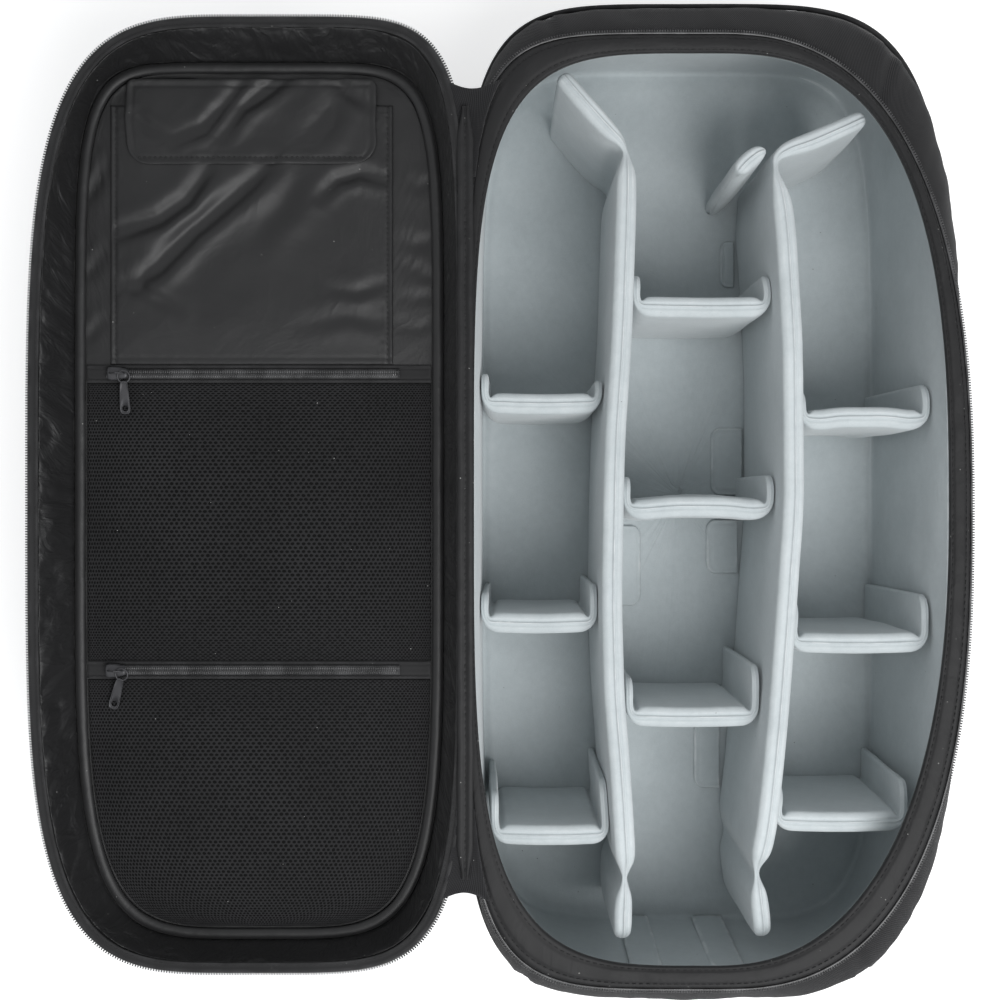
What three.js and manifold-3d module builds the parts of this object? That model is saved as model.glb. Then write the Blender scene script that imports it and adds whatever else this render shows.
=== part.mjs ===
// Camera backpack lying on its harness side, with the lid opened flat beside the body.
// Millimetres, +Z up. The hinge line runs along Y. The body lies on its +X side, the lid on its -X side.
import * as THREE from 'three';
import { mergeVertices } from 'three/addons/utils/BufferGeometryUtils.js';
import Module from 'manifold-3d';

const wasm = await Module();
wasm.setup();

// Driving dimensions: heights
const GAP = 0.3;
const HARNESS_THICK = 12;
const BACK_PANEL_THICK = 10;
const SHELL_WALL = 2.5;
const LINING_FLOOR = 9;
const INNER_DEPTH = 140;
const RIM_BAND_THICK = 4.5;
const SHOULDER_DROP = 42;

// Driving dimensions: body outline, its mouth and its lining
const BODY_RIGHT = 281.5;
const BODY_LEFT = -6;
const BODY_TOP = 294.5;
const BODY_BOTTOM = -294.5;
const BASE_EDGE_ROUND = 10;
const HINGE_X = -5;
const HINGE_CLEAR = 0.15;
const MOUTH_LEFT = HINGE_X + HINGE_CLEAR;
const MOUTH_RIGHT = 283;
const MOUTH_TOP = 266;
const MOUTH_BOTTOM = -279;
const LINING_LEFT = 2.5;
const LINING_FLOOR_RIGHT = 264;
const LINING_FLOOR_TOP = 287;
const LINING_FLOOR_BOTTOM = -281;
const LINING_MID_RIGHT = 270;
const LINING_MID_TOP = 287;
const LINING_MID_BOTTOM = -285;
const RIM_INNER_LEFT = -0.6;
const RIM_INNER_RIGHT = 271.6;
const RIM_INNER_TOP = 256;
const RIM_INNER_BOTTOM = -267;
const BODY_PIPING_RADIUS = 1.6;
const TEETH_WIDTH = 2.6;
const TEETH_HEIGHT = 3;

// Driving dimensions: hinge strip
const HINGE_TOP = 224;
const HINGE_BOTTOM = -216;
const HINGE_STRIP_REACH = 5;
const HINGE_STRIP_OVERLAP = 4;
const HINGE_STRIP_THICK = 1.2;

// Driving dimensions: lid
const LID_WIDTH = 249.35;
const LID_TOP = 275;
const LID_BOTTOM = -269;
const LID_DEPTH = 38;
const LID_TRAY_DEPTH = 28;
const LID_EDGE = 4;
const LID_BINDING = 2.6;
const LID_PIPING_RADIUS = 2.5;
const GUSSET_LEFT = 19;
const GUSSET_RIGHT = 14.2;
const GUSSET_TOP = 18;
const GUSSET_BOTTOM = 11;
const LID_PANEL_THICK = 1.5;

// Driving dimensions: pockets on the lid
const SLEEVE_LEFT_INSET = 15;
const SLEEVE_RIGHT_INSET = 23.8;
const SLEEVE_TOP = 232;
const SLEEVE_THICK = 2;
const FLAP_INSET = 9.5;
const FLAP_TOP = 247;
const FLAP_BOTTOM = 197;
const FLAP_THICK = 1.4;
const FLAP_ROUND = 14;
const UPPER_ZIP_TOP = 79.4;
const LOWER_ZIP_TOP = -94.7;
const ZIP_TAPE_WIDTH = 10.5;
const ZIP_TAPE_THICK = 1.6;
const MESH_THICK = 1.1;
const POCKET_MARGIN = 1.2;
const CHAIN_WIDTH = 5.7;
const CHAIN_THICK = 1.6;
const CHAIN_START_INSET = 13;
const CHAIN_END_INSET = 19.6;

// Driving dimensions: sliders and pulls
const SLIDER_LENGTH = 11.5;
const SLIDER_WALL = 1.2;
const ARCH_OPENING = 3.8;
const ARCH_BAR = 1.2;
const ARCH_WIDTH = 1.4;
const ARCH_LENGTH = 10;
const ARCH_LEG = 1.6;
const PULL_LENGTH = 27;
const PULL_WIDTH = 7;
const PULL_THICK = 1.2;
const PULL_RING_RADIUS = 4.3;
const PULL_EYE_RADIUS = 2.9;
const PULL_RING_SETBACK = 1.5;
const PULL_HOLE_RADIUS = 2.2;
const UPPER_SLIDER_INSET = 7;
const LOWER_SLIDER_INSET = 6;
const LOWER_PULL_SWING = THREE.MathUtils.degToRad(17);

// Driving dimensions: dividers
const DIVIDER_THICK = 12.5;
const HINGE_SEAM_THICK = 4;
const TAB_THICK = 5;
const TAB_TURN = 5;
const DIVIDER_CLEAR = 0.6;
const LINING_CLEAR = 1.2;
const FLANGE_THICK = 1.5;
const FLANGE_ROUND = 7;
const WALL_TAB_WIDTH = 20;

// Driving dimensions: harness
const STRAP_WIDTH = 66;
const STRAP_SPREAD = 120;
const STRAP_TOP = 215;
const STRAP_BOTTOM = -95;
const LUMBAR_WIDTH = 200;
const LUMBAR_HEIGHT = 95;
const LUMBAR_FOOT = 45;
const WEB_WIDTH = 25;
const WEB_THICK = 2;
const WEB_END_RISE = 40;

// Heights that follow from them
const BACK_PANEL_BASE = HARNESS_THICK + GAP;
const SHELL_BASE = BACK_PANEL_BASE + BACK_PANEL_THICK + GAP;
const LINING_BASE = SHELL_BASE + SHELL_WALL + GAP;
const FLOOR = LINING_BASE + LINING_FLOOR;
const RIM = FLOOR + INNER_DEPTH;
const SHELL_TOP = RIM - RIM_BAND_THICK - GAP;
const SHOULDER = RIM - SHOULDER_DROP;
const TRAY_FLOOR = RIM - LID_TRAY_DEPTH;

// Roundness of each outline's four quarters: 2 is an ellipse, higher is squarer
const BODY_CORNERS = { ne: 4.4, nw: 5.5, sw: 5.5, se: 3.9 };
const MOUTH_CORNERS = { ne: 2.5, nw: 6, sw: 5.2, se: 2.6 };
const RIM_INNER_CORNERS = { ne: 2.8, nw: 4.3, sw: 3.8, se: 2.4 };
const FLOOR_CORNERS = { ne: 6, nw: 6, sw: 6, se: 6 };
const LINING_MID_CORNERS = { ne: 5, nw: 6, sw: 6, se: 4.5 };
const LID_CORNERS = { ne: 6.2, nw: 3.8, sw: 4, se: 5 };
const TRAY_CORNERS = { ne: 7, nw: 7, sw: 4.5, se: 4.8 };
const PAD_CORNERS = { ne: 4, nw: 4, sw: 4, se: 4 };

// Long dividers: along is a share of the lining floor's length, across of its width
const LEFT_DIVIDER_PATH = [
  { along: 0.111, across: 0.325, pad: 0.4, rise: 0.86 },
  { along: 0.14, across: 0.323, pad: 1, rise: 0.92 },
  { along: 0.221, across: 0.31, pad: 1, rise: 0.95 },
  { along: 0.291, across: 0.299, pad: 1, rise: 0.95 },
  { along: 0.392, across: 0.2925, pad: 1, rise: 0.95 },
  { along: 0.5535, across: 0.299, pad: 1, rise: 0.95 },
  { along: 0.665, across: 0.314, pad: 1, rise: 0.94 },
  { along: 0.82, across: 0.325, pad: 1, rise: 0.93 },
  { along: 0.846, across: 0.3255, pad: 0.4, rise: 0.9 },
];
const RIGHT_DIVIDER_PATH = [
  { along: 0.116, across: 0.621, pad: 0.4, rise: 0.86 },
  { along: 0.149, across: 0.633, pad: 1, rise: 0.92 },
  { along: 0.219, across: 0.648, pad: 1, rise: 0.95 },
  { along: 0.288, across: 0.662, pad: 1, rise: 0.95 },
  { along: 0.4175, across: 0.682, pad: 1, rise: 0.95 },
  { along: 0.486, across: 0.694, pad: 1, rise: 0.95 },
  { along: 0.5556, across: 0.6925, pad: 1, rise: 0.95 },
  { along: 0.66, across: 0.69, pad: 1, rise: 0.95 },
  { along: 0.7956, across: 0.673, pad: 1, rise: 0.93 },
  { along: 0.825, across: 0.66, pad: 0.4, rise: 0.9 },
];

// Flaps past the sewn hinges of the long dividers, each from its hinged end to its free end
const DIVIDER_FLAPS = [
  { name: 'divider_left_flap_top', from: [0.858, 0.322], to: [0.917, 0.196], rise: 0.9 },
  { name: 'divider_left_flap_bottom', from: [0.097, 0.325], to: [0.036, 0.321], rise: 0.84 },
  { name: 'divider_right_flap_top', from: [0.852, 0.667], to: [0.879, 0.835], rise: 0.88 },
  { name: 'divider_right_flap_bottom', from: [0.101, 0.623], to: [0.038, 0.638], rise: 0.84 },
  { name: 'divider_right_side_tab', from: [0.85, 0.63], to: [0.828, 0.572], rise: 0.86 },
];

// Cross dividers: along as above, the tabs' lengths in millimetres, and how much the middle bows
const CROSS_RISE = 0.8;
const CROSS_DIVIDERS = [
  { name: 'cross_left_upper', column: 'left', along: 0.596, tabs: [30, 14], bow: -1 },
  { name: 'cross_left_middle', column: 'left', along: 0.368, tabs: [17, 22], bow: -1 },
  { name: 'cross_left_lower', column: 'left', along: 0.147, tabs: [24, 32], bow: -1 },
  { name: 'cross_middle_upper', column: 'middle', along: 0.697, tabs: [19, 19], bow: -1 },
  { name: 'cross_middle_middle', column: 'middle', along: 0.486, tabs: [19, 20], bow: 1 },
  { name: 'cross_middle_lower', column: 'middle', along: 0.27, tabs: [22, 30], bow: -1 },
  { name: 'cross_right_upper', column: 'right', along: 0.579, tabs: [17, 21], bow: 1 },
  { name: 'cross_right_middle', column: 'right', along: 0.347, tabs: [24, 28], bow: -1 },
  { name: 'cross_right_lower', column: 'right', along: 0.161, tabs: [20, 24], bow: -1 },
];

// Thin hook flanges of the long dividers on the floor: side is the face that each leaves
const FLOOR_FLANGES = [
  { name: 'flange_left_middle', path: LEFT_DIVIDER_PATH, side: 1, from: 0.37, to: 0.465, reach: 22 },
  { name: 'flange_right_upper', path: RIGHT_DIVIDER_PATH, side: -1, from: 0.745, to: 0.8, reach: 9 },
  { name: 'flange_right_middle', path: RIGHT_DIVIDER_PATH, side: -1, from: 0.53, to: 0.585, reach: 19 },
  { name: 'flange_right_inner', path: RIGHT_DIVIDER_PATH, side: -1, from: 0.41, to: 0.47, reach: 19 },
  { name: 'flange_right_lower', path: RIGHT_DIVIDER_PATH, side: -1, from: 0.155, to: 0.235, reach: 17 },
];

// Materials
const BLACK_CORDURA = new THREE.MeshStandardMaterial({ color: 0x1c1d1f, roughness: 0.95, metalness: 0 });
const BLACK_NYLON = new THREE.MeshStandardMaterial({ color: 0x242527, roughness: 0.7, metalness: 0 });
const BLACK_MESH = new THREE.MeshStandardMaterial({ color: 0x161718, roughness: 0.9, metalness: 0 });
const BLACK_BINDING = new THREE.MeshStandardMaterial({ color: 0x2a2b2d, roughness: 0.8, metalness: 0 });
const GREY_TRICOT = new THREE.MeshStandardMaterial({ color: 0xb9c1c4, roughness: 1, metalness: 0 });
const ZIP_COIL = new THREE.MeshStandardMaterial({ color: 0x202123, roughness: 0.45, metalness: 0 });
const GUNMETAL = new THREE.MeshStandardMaterial({ color: 0x3a3c40, roughness: 0.35, metalness: 1 });
const HARNESS_MESH = new THREE.MeshStandardMaterial({ color: 0x1a1b1c, roughness: 1, metalness: 0 });

const bag = new THREE.Group();

// Outlines: a superellipse with its own roundness in each quarter

function outlineFromEdges(left, right, bottom, top, corners) {
  return {
    cx: (left + right) / 2,
    cy: (bottom + top) / 2,
    a: (right - left) / 2,
    b: (top - bottom) / 2,
    corners,
  };
}

function quarterPower(outline, towardsRight, towardsTop) {
  const { ne, nw, sw, se } = outline.corners;
  if (towardsRight) return towardsTop ? ne : se;
  return towardsTop ? nw : sw;
}

function outlinePoint(outline, angle) {
  const c = Math.cos(angle);
  const s = Math.sin(angle);
  const n = quarterPower(outline, c >= 0, s >= 0);
  const r = (Math.abs(c / outline.a) ** n + Math.abs(s / outline.b) ** n) ** (-1 / n);
  return new THREE.Vector2(outline.cx + r * c, outline.cy + r * s);
}

function outlineSideX(outline, side, y) {
  const n = quarterPower(outline, side > 0, y >= outline.cy);
  const share = Math.min(1, Math.abs(y - outline.cy) / outline.b);
  return outline.cx + side * outline.a * (1 - share ** n) ** (1 / n);
}

function inset(outline, d) {
  return { ...outline, a: outline.a - d, b: outline.b - d };
}

function insetEach(outline, left, right, bottom, top) {
  return {
    ...outline,
    cx: outline.cx + (left - right) / 2,
    cy: outline.cy + (bottom - top) / 2,
    a: outline.a - (left + right) / 2,
    b: outline.b - (bottom + top) / 2,
  };
}

function between(p, q, share) {
  const mix = (u, v) => u + (v - u) * share;
  const corners = {};
  for (const key of Object.keys(p.corners)) corners[key] = mix(p.corners[key], q.corners[key]);
  return { cx: mix(p.cx, q.cx), cy: mix(p.cy, q.cy), a: mix(p.a, q.a), b: mix(p.b, q.b), corners };
}

const BODY_OUTLINE = outlineFromEdges(BODY_LEFT, BODY_RIGHT, BODY_BOTTOM, BODY_TOP, BODY_CORNERS);
const MOUTH_OUTLINE = outlineFromEdges(MOUTH_LEFT, MOUTH_RIGHT, MOUTH_BOTTOM, MOUTH_TOP, MOUTH_CORNERS);
const RIM_INNER_OUTLINE = outlineFromEdges(
  RIM_INNER_LEFT, RIM_INNER_RIGHT, RIM_INNER_BOTTOM, RIM_INNER_TOP, RIM_INNER_CORNERS);
const FLOOR_OUTLINE = outlineFromEdges(
  LINING_LEFT, LINING_FLOOR_RIGHT, LINING_FLOOR_BOTTOM, LINING_FLOOR_TOP, FLOOR_CORNERS);
const LINING_MID_OUTLINE = outlineFromEdges(
  LINING_LEFT, LINING_MID_RIGHT, LINING_MID_BOTTOM, LINING_MID_TOP, LINING_MID_CORNERS);
const LID_RIGHT = HINGE_X - HINGE_CLEAR;
const LID_OUTLINE = outlineFromEdges(LID_RIGHT - LID_WIDTH, LID_RIGHT, LID_BOTTOM, LID_TOP, LID_CORNERS);
const TRAY_OUTLINE = {
  ...insetEach(LID_OUTLINE, GUSSET_LEFT, GUSSET_RIGHT, GUSSET_BOTTOM, GUSSET_TOP),
  corners: TRAY_CORNERS,
};

// Angles spaced by length and by turning, so that corners get more points than straight sides
const SAMPLE_COUNT = 52;
const TURNING_WEIGHT = 1.3;

function sampleAngles(outline, count) {
  const steps = 2000;
  const points = [];
  for (let i = 0; i <= steps; i += 1) points.push(outlinePoint(outline, (i / steps) * Math.PI * 2));
  let length = 0;
  for (let i = 1; i <= steps; i += 1) length += points[i].distanceTo(points[i - 1]);
  const measure = [0];
  for (let i = 1; i <= steps; i += 1) {
    const before = points[i].clone().sub(points[i - 1]);
    const after = points[(i % steps) + 1].clone().sub(points[i % steps]);
    const turn = Math.abs(Math.atan2(before.cross(after), before.dot(after)));
    measure.push(measure[i - 1] + before.length() / length + (TURNING_WEIGHT * turn) / (Math.PI * 2));
  }
  const angles = [];
  let k = 0;
  for (let j = 0; j < count; j += 1) {
    const target = (j / count) * measure[steps];
    while (measure[k + 1] < target) k += 1;
    const part = (target - measure[k]) / (measure[k + 1] - measure[k]);
    angles.push(((k + part) / steps) * Math.PI * 2);
  }
  return angles;
}

const ANGLES = sampleAngles(BODY_OUTLINE, SAMPLE_COUNT);

// Solids from rings of points

function ringAt(outline, z) {
  return ANGLES.map((angle) => {
    const p = outlinePoint(outline, angle);
    return new THREE.Vector3(p.x, p.y, z);
  });
}

function centroid(points) {
  const sum = new THREE.Vector3();
  for (const p of points) sum.add(p);
  return sum.multiplyScalar(1 / points.length);
}

function signedVolume(positions, indices) {
  const a = new THREE.Vector3();
  const b = new THREE.Vector3();
  const c = new THREE.Vector3();
  let volume = 0;
  for (let i = 0; i < indices.length; i += 3) {
    a.copy(positions[indices[i]]);
    b.copy(positions[indices[i + 1]]);
    c.copy(positions[indices[i + 2]]);
    volume += a.dot(b.cross(c)) / 6;
  }
  return volume;
}

// Joins rings of equal length: joinEnds makes a loop of rings, otherwise both end rings are capped
function skin(rings, joinEnds) {
  const size = rings[0].length;
  const positions = rings.flat();
  const indices = [];
  const spans = joinEnds ? rings.length : rings.length - 1;
  for (let i = 0; i < spans; i += 1) {
    const here = i * size;
    const next = ((i + 1) % rings.length) * size;
    for (let j = 0; j < size; j += 1) {
      const k = (j + 1) % size;
      indices.push(here + j, here + k, next + k, here + j, next + k, next + j);
    }
  }
  if (!joinEnds) {
    const last = (rings.length - 1) * size;
    const firstCentre = positions.push(centroid(rings[0])) - 1;
    const lastCentre = positions.push(centroid(rings[rings.length - 1])) - 1;
    for (let j = 0; j < size; j += 1) {
      const k = (j + 1) % size;
      indices.push(firstCentre, k, j, lastCentre, last + j, last + k);
    }
  }
  if (signedVolume(positions, indices) < 0) {
    for (let i = 0; i < indices.length; i += 3) {
      const swap = indices[i];
      indices[i] = indices[i + 1];
      indices[i + 1] = swap;
    }
  }
  const geometry = new THREE.BufferGeometry();
  geometry.setAttribute('position', new THREE.Float32BufferAttribute(positions.flatMap((p) => p.toArray()), 3));
  geometry.setIndex(indices);
  return geometry;
}

function sectionRings(sections) {
  return sections.map(({ outline, z }) => ringAt(outline, z));
}

function addPiece(name, geometry, material, parent = bag) {
  const mesh = new THREE.Mesh(geometry, material);
  mesh.name = name;
  parent.add(mesh);
  return mesh;
}

// A tube of round section that follows an outline
function outlineTube(outline, z, radius, sides) {
  const rings = [];
  for (let k = 0; k < sides; k += 1) {
    const turn = (k / sides) * Math.PI * 2;
    rings.push(ringAt(inset(outline, -radius * Math.cos(turn)), z + radius * Math.sin(turn)));
  }
  return skin(rings, true);
}

// A flat plate from a list of points in plan
function plate(points, base, thick) {
  const shape = new THREE.Shape(points);
  const geometry = new THREE.ExtrudeGeometry(shape, { depth: thick, bevelEnabled: false });
  geometry.translate(0, 0, base);
  return geometry;
}

// The part of an outline between two heights, as a closed list of points
function outlineBand(outline, bottom, top, steps) {
  const points = [];
  for (let i = 0; i <= steps; i += 1) {
    const y = bottom + ((top - bottom) * (1 - Math.cos((i / steps) * Math.PI))) / 2;
    points.push(new THREE.Vector2(outlineSideX(outline, 1, y), y));
  }
  for (let i = steps; i >= 0; i -= 1) {
    const y = bottom + ((top - bottom) * (1 - Math.cos((i / steps) * Math.PI))) / 2;
    points.push(new THREE.Vector2(outlineSideX(outline, -1, y), y));
  }
  return points.filter((p, i) => i === 0 || p.distanceTo(points[i - 1]) > 0.5);
}

// A rectangle whose four corners can each be rounded, counter-clockwise from its lower left
function roundedRectangle(left, right, bottom, top, radii) {
  const path = new THREE.Shape();
  const [sw, se, ne, nw] = radii;
  path.moveTo(left + sw, bottom);
  path.lineTo(right - se, bottom);
  if (se > 0) path.absarc(right - se, bottom + se, se, -Math.PI / 2, 0, false);
  path.lineTo(right, top - ne);
  if (ne > 0) path.absarc(right - ne, top - ne, ne, 0, Math.PI / 2, false);
  path.lineTo(left + nw, top);
  if (nw > 0) path.absarc(left + nw, top - nw, nw, Math.PI / 2, Math.PI, false);
  path.lineTo(left, bottom + sw);
  if (sw > 0) path.absarc(left + sw, bottom + sw, sw, Math.PI, Math.PI * 1.5, false);
  return path;
}

function roundedPlate(left, right, bottom, top, radii, base, thick) {
  const shape = roundedRectangle(left, right, bottom, top, radii);
  const geometry = new THREE.ExtrudeGeometry(shape, { depth: thick, bevelEnabled: false, curveSegments: 4 });
  geometry.translate(0, 0, base);
  return geometry;
}

// Body: shell, lining, rim band, piping and zip teeth

function buildBody() {
  const shoulderMiddle = between(MOUTH_OUTLINE, BODY_OUTLINE, 0.66);
  const shoulderMiddleHeight = RIM - SHOULDER_DROP * 0.45;
  const cloth = SHELL_WALL;
  const outer = [
    { outline: inset(BODY_OUTLINE, BASE_EDGE_ROUND), z: SHELL_BASE },
    { outline: inset(BODY_OUTLINE, BASE_EDGE_ROUND * 0.3), z: SHELL_BASE + BASE_EDGE_ROUND * 0.3 },
    { outline: BODY_OUTLINE, z: SHELL_BASE + BASE_EDGE_ROUND },
    { outline: BODY_OUTLINE, z: SHOULDER },
    { outline: shoulderMiddle, z: shoulderMiddleHeight },
    { outline: MOUTH_OUTLINE, z: SHELL_TOP },
  ];
  const innerBase = SHELL_BASE + SHELL_WALL;
  const inner = [
    { outline: inset(MOUTH_OUTLINE, cloth), z: SHELL_TOP },
    { outline: inset(shoulderMiddle, cloth), z: shoulderMiddleHeight },
    { outline: inset(BODY_OUTLINE, cloth), z: SHOULDER },
    { outline: inset(BODY_OUTLINE, cloth), z: innerBase + BASE_EDGE_ROUND },
    { outline: inset(BODY_OUTLINE, cloth + BASE_EDGE_ROUND), z: innerBase },
  ];
  addPiece('body_shell', skin(sectionRings([...outer, ...inner]), false), BLACK_CORDURA);

  const liningGap = cloth + GAP;
  const liningOuter = [
    { outline: inset(BODY_OUTLINE, liningGap + BASE_EDGE_ROUND), z: LINING_BASE },
    { outline: inset(BODY_OUTLINE, liningGap), z: LINING_BASE + BASE_EDGE_ROUND },
    { outline: inset(BODY_OUTLINE, liningGap), z: SHOULDER },
    { outline: inset(shoulderMiddle, liningGap), z: shoulderMiddleHeight },
    { outline: inset(MOUTH_OUTLINE, liningGap), z: SHELL_TOP },
  ];
  const liningInner = [
    { outline: RIM_INNER_OUTLINE, z: SHELL_TOP },
    { outline: between(RIM_INNER_OUTLINE, LINING_MID_OUTLINE, 0.66), z: shoulderMiddleHeight },
    { outline: LINING_MID_OUTLINE, z: SHOULDER },
    { outline: FLOOR_OUTLINE, z: FLOOR },
  ];
  // Listed from the floor's middle outwards, so its outer facets are split like the shell's inner ones
  const liningRings = sectionRings([...liningOuter, ...liningInner]).reverse();
  addPiece('lining', skin(liningRings, false), GREY_TRICOT);

  const bandBase = SHELL_TOP + GAP;
  const softEdge = RIM_BAND_THICK * 0.4;
  const rimBand = [
    { outline: MOUTH_OUTLINE, z: bandBase },
    { outline: MOUTH_OUTLINE, z: RIM - softEdge },
    { outline: inset(MOUTH_OUTLINE, softEdge), z: RIM },
    { outline: inset(RIM_INNER_OUTLINE, -softEdge), z: RIM },
    { outline: RIM_INNER_OUTLINE, z: RIM - softEdge },
    { outline: RIM_INNER_OUTLINE, z: bandBase },
  ];
  addPiece('rim_band', skin(sectionRings(rimBand), true), BLACK_NYLON);

  const pipingOutline = inset(BODY_OUTLINE, -GAP - BODY_PIPING_RADIUS);
  addPiece('body_piping', outlineTube(pipingOutline, SHOULDER, BODY_PIPING_RADIUS, 6), BLACK_BINDING);
  addPiece('body_zip_teeth', zipTeeth(MOUTH_OUTLINE, HINGE_BOTTOM, HINGE_TOP, -1), ZIP_COIL);
}

// Teeth all round an outline but along the hinge, whose side is -1 or 1
function zipTeeth(outline, hingeBottom, hingeTop, hingeSide) {
  const inner = inset(outline, -GAP);
  const outer = inset(outline, -GAP - TEETH_WIDTH);
  const base = RIM - RIM_BAND_THICK + GAP;
  const away = ANGLES.map((angle) => {
    const p = outlinePoint(outline, angle);
    return (p.x - outline.cx) * hingeSide < 0 || p.y > hingeTop || p.y < hingeBottom;
  });
  const count = ANGLES.length;
  const first = away.findIndex((open, i) => open && !away[(i + count - 1) % count]);
  const stations = [];
  for (let k = 0; k < count && away[(first + k) % count]; k += 1) {
    const angle = ANGLES[(first + k) % count];
    const low = outlinePoint(inner, angle);
    const high = outlinePoint(outer, angle);
    stations.push([
      new THREE.Vector3(low.x, low.y, base),
      new THREE.Vector3(high.x, high.y, base),
      new THREE.Vector3(high.x, high.y, base + TEETH_HEIGHT),
      new THREE.Vector3(low.x, low.y, base + TEETH_HEIGHT),
    ]);
  }
  return skin(stations, false);
}

// Harness side: back panel, shoulder straps, lumbar pad and lower webs

function buildHarness() {
  const backOutline = inset(BODY_OUTLINE, BASE_EDGE_ROUND);
  const soft = BACK_PANEL_THICK * 0.3;
  const back = [
    { outline: inset(backOutline, soft), z: BACK_PANEL_BASE },
    { outline: backOutline, z: BACK_PANEL_BASE + soft },
    { outline: backOutline, z: BACK_PANEL_BASE + BACK_PANEL_THICK },
  ];
  addPiece('back_panel', skin(sectionRings(back), false), HARNESS_MESH);

  const middle = BODY_OUTLINE.cx;
  const strapRows = [
    { share: 0, across: 0.52, width: 0.5 },
    { share: 0.15, across: 0.6, width: 0.8 },
    { share: 0.4, across: 0.7, width: 1 },
    { share: 0.7, across: 0.5, width: 1 },
    { share: 0.9, across: 0.36, width: 0.95 },
    { share: 1, across: 0.32, width: 0.85 },
  ];
  const edge = HARNESS_THICK * 0.25;
  for (const [name, side] of [['strap_left', -1], ['strap_right', 1]]) {
    const stations = strapRows.map(({ share, across, width }) => {
      const x = middle + side * across * STRAP_SPREAD;
      const y = STRAP_BOTTOM + share * (STRAP_TOP - STRAP_BOTTOM);
      const half = (width * STRAP_WIDTH) / 2;
      return [
        new THREE.Vector3(x - half + edge, y, 0),
        new THREE.Vector3(x + half - edge, y, 0),
        new THREE.Vector3(x + half, y, edge),
        new THREE.Vector3(x + half, y, HARNESS_THICK - edge),
        new THREE.Vector3(x + half - edge, y, HARNESS_THICK),
        new THREE.Vector3(x - half + edge, y, HARNESS_THICK),
        new THREE.Vector3(x - half, y, HARNESS_THICK - edge),
        new THREE.Vector3(x - half, y, edge),
      ];
    });
    addPiece(name, skin(stations, false), HARNESS_MESH);
  }

  const lumbarBottom = BODY_BOTTOM + LUMBAR_FOOT;
  const lumbar = outlineFromEdges(
    middle - LUMBAR_WIDTH / 2, middle + LUMBAR_WIDTH / 2, lumbarBottom, lumbarBottom + LUMBAR_HEIGHT, PAD_CORNERS);
  const pad = [
    { outline: inset(lumbar, edge), z: 0 },
    { outline: lumbar, z: edge },
    { outline: lumbar, z: HARNESS_THICK },
  ];
  addPiece('lumbar_pad', skin(sectionRings(pad), false), HARNESS_MESH);

  const webTop = STRAP_BOTTOM - GAP;
  const webReach = STRAP_SPREAD * strapRows[0].across;
  for (const [name, side] of [['strap_web_left', -1], ['strap_web_right', 1]]) {
    const x = middle + side * webReach;
    const foot = middle + side * (LUMBAR_WIDTH / 2 + WEB_WIDTH / 2 + GAP);
    const bottom = lumbarBottom + LUMBAR_HEIGHT / 2 - WEB_END_RISE;
    const points = [
      new THREE.Vector2(x - WEB_WIDTH / 2, webTop),
      new THREE.Vector2(foot - WEB_WIDTH / 2, lumbarBottom + LUMBAR_HEIGHT + GAP),
      new THREE.Vector2(foot - WEB_WIDTH / 2, bottom),
      new THREE.Vector2(foot + WEB_WIDTH / 2, bottom),
      new THREE.Vector2(foot + WEB_WIDTH / 2, lumbarBottom + LUMBAR_HEIGHT + GAP),
      new THREE.Vector2(x + WEB_WIDTH / 2, webTop),
    ];
    addPiece(name, plate(points, HARNESS_THICK - WEB_THICK, WEB_THICK), BLACK_NYLON);
  }
}

// Dividers: padded walls that stand on the lining floor

const FLOOR_LENGTH = LINING_FLOOR_TOP - LINING_FLOOR_BOTTOM;
const FLOOR_WIDTH = LINING_FLOOR_RIGHT - LINING_LEFT;

function floorY(along) {
  return LINING_FLOOR_BOTTOM + along * FLOOR_LENGTH;
}

function floorX(across) {
  return LINING_LEFT + across * FLOOR_WIDTH;
}

function pathX(path, y) {
  const rows = path.map((row) => ({ x: floorX(row.across), y: floorY(row.along) }));
  if (y <= rows[0].y) return rows[0].x;
  for (let i = 1; i < rows.length; i += 1) {
    if (y <= rows[i].y) {
      const share = (y - rows[i - 1].y) / (rows[i].y - rows[i - 1].y);
      return rows[i - 1].x + share * (rows[i].x - rows[i - 1].x);
    }
  }
  return rows[rows.length - 1].x;
}

// The lining's inner wall at a height: linear between its three inner outlines
function liningX(side, y, z) {
  const middleRow = { outline: LINING_MID_OUTLINE, z: SHOULDER };
  const [low, high] = z < SHOULDER
    ? [{ outline: FLOOR_OUTLINE, z: FLOOR }, middleRow]
    : [middleRow, { outline: RIM_INNER_OUTLINE, z: SHELL_TOP }];
  const share = (z - low.z) / (high.z - low.z);
  const from = outlineSideX(low.outline, side, y);
  return from + share * (outlineSideX(high.outline, side, y) - from);
}

// Half of a divider's section, as shares of its thickness and height
const DIVIDER_SECTION = [
  { side: 0.46, up: 0 },
  { side: 0.5, up: 0.3 },
  { side: 0.5, up: 0.9 },
  { side: 0.3, up: 0.98 },
];

function paddedWall(stations) {
  const rings = stations.map((station, i) => {
    const before = stations[Math.max(0, i - 1)];
    const after = stations[Math.min(stations.length - 1, i + 1)];
    const run = after.foot.clone().sub(before.foot).normalize();
    const across = new THREE.Vector2(-run.y, run.x);
    const at = (side, up) => {
      const x = station.foot.x + up * (station.head.x - station.foot.x) + across.x * side * station.thick;
      const y = station.foot.y + up * (station.head.y - station.foot.y) + across.y * side * station.thick;
      return new THREE.Vector3(x, y, FLOOR + GAP + up * station.height);
    };
    const right = DIVIDER_SECTION.map(({ side, up }) => at(side, up));
    const left = DIVIDER_SECTION.map(({ side, up }) => at(-side, up)).reverse();
    return [...right, at(0, 1), ...left];
  });
  return skin(rings, false);
}

function plainStation(x, y, thick, height) {
  const foot = new THREE.Vector2(x, y);
  return { foot, head: foot, thick, height };
}

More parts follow.
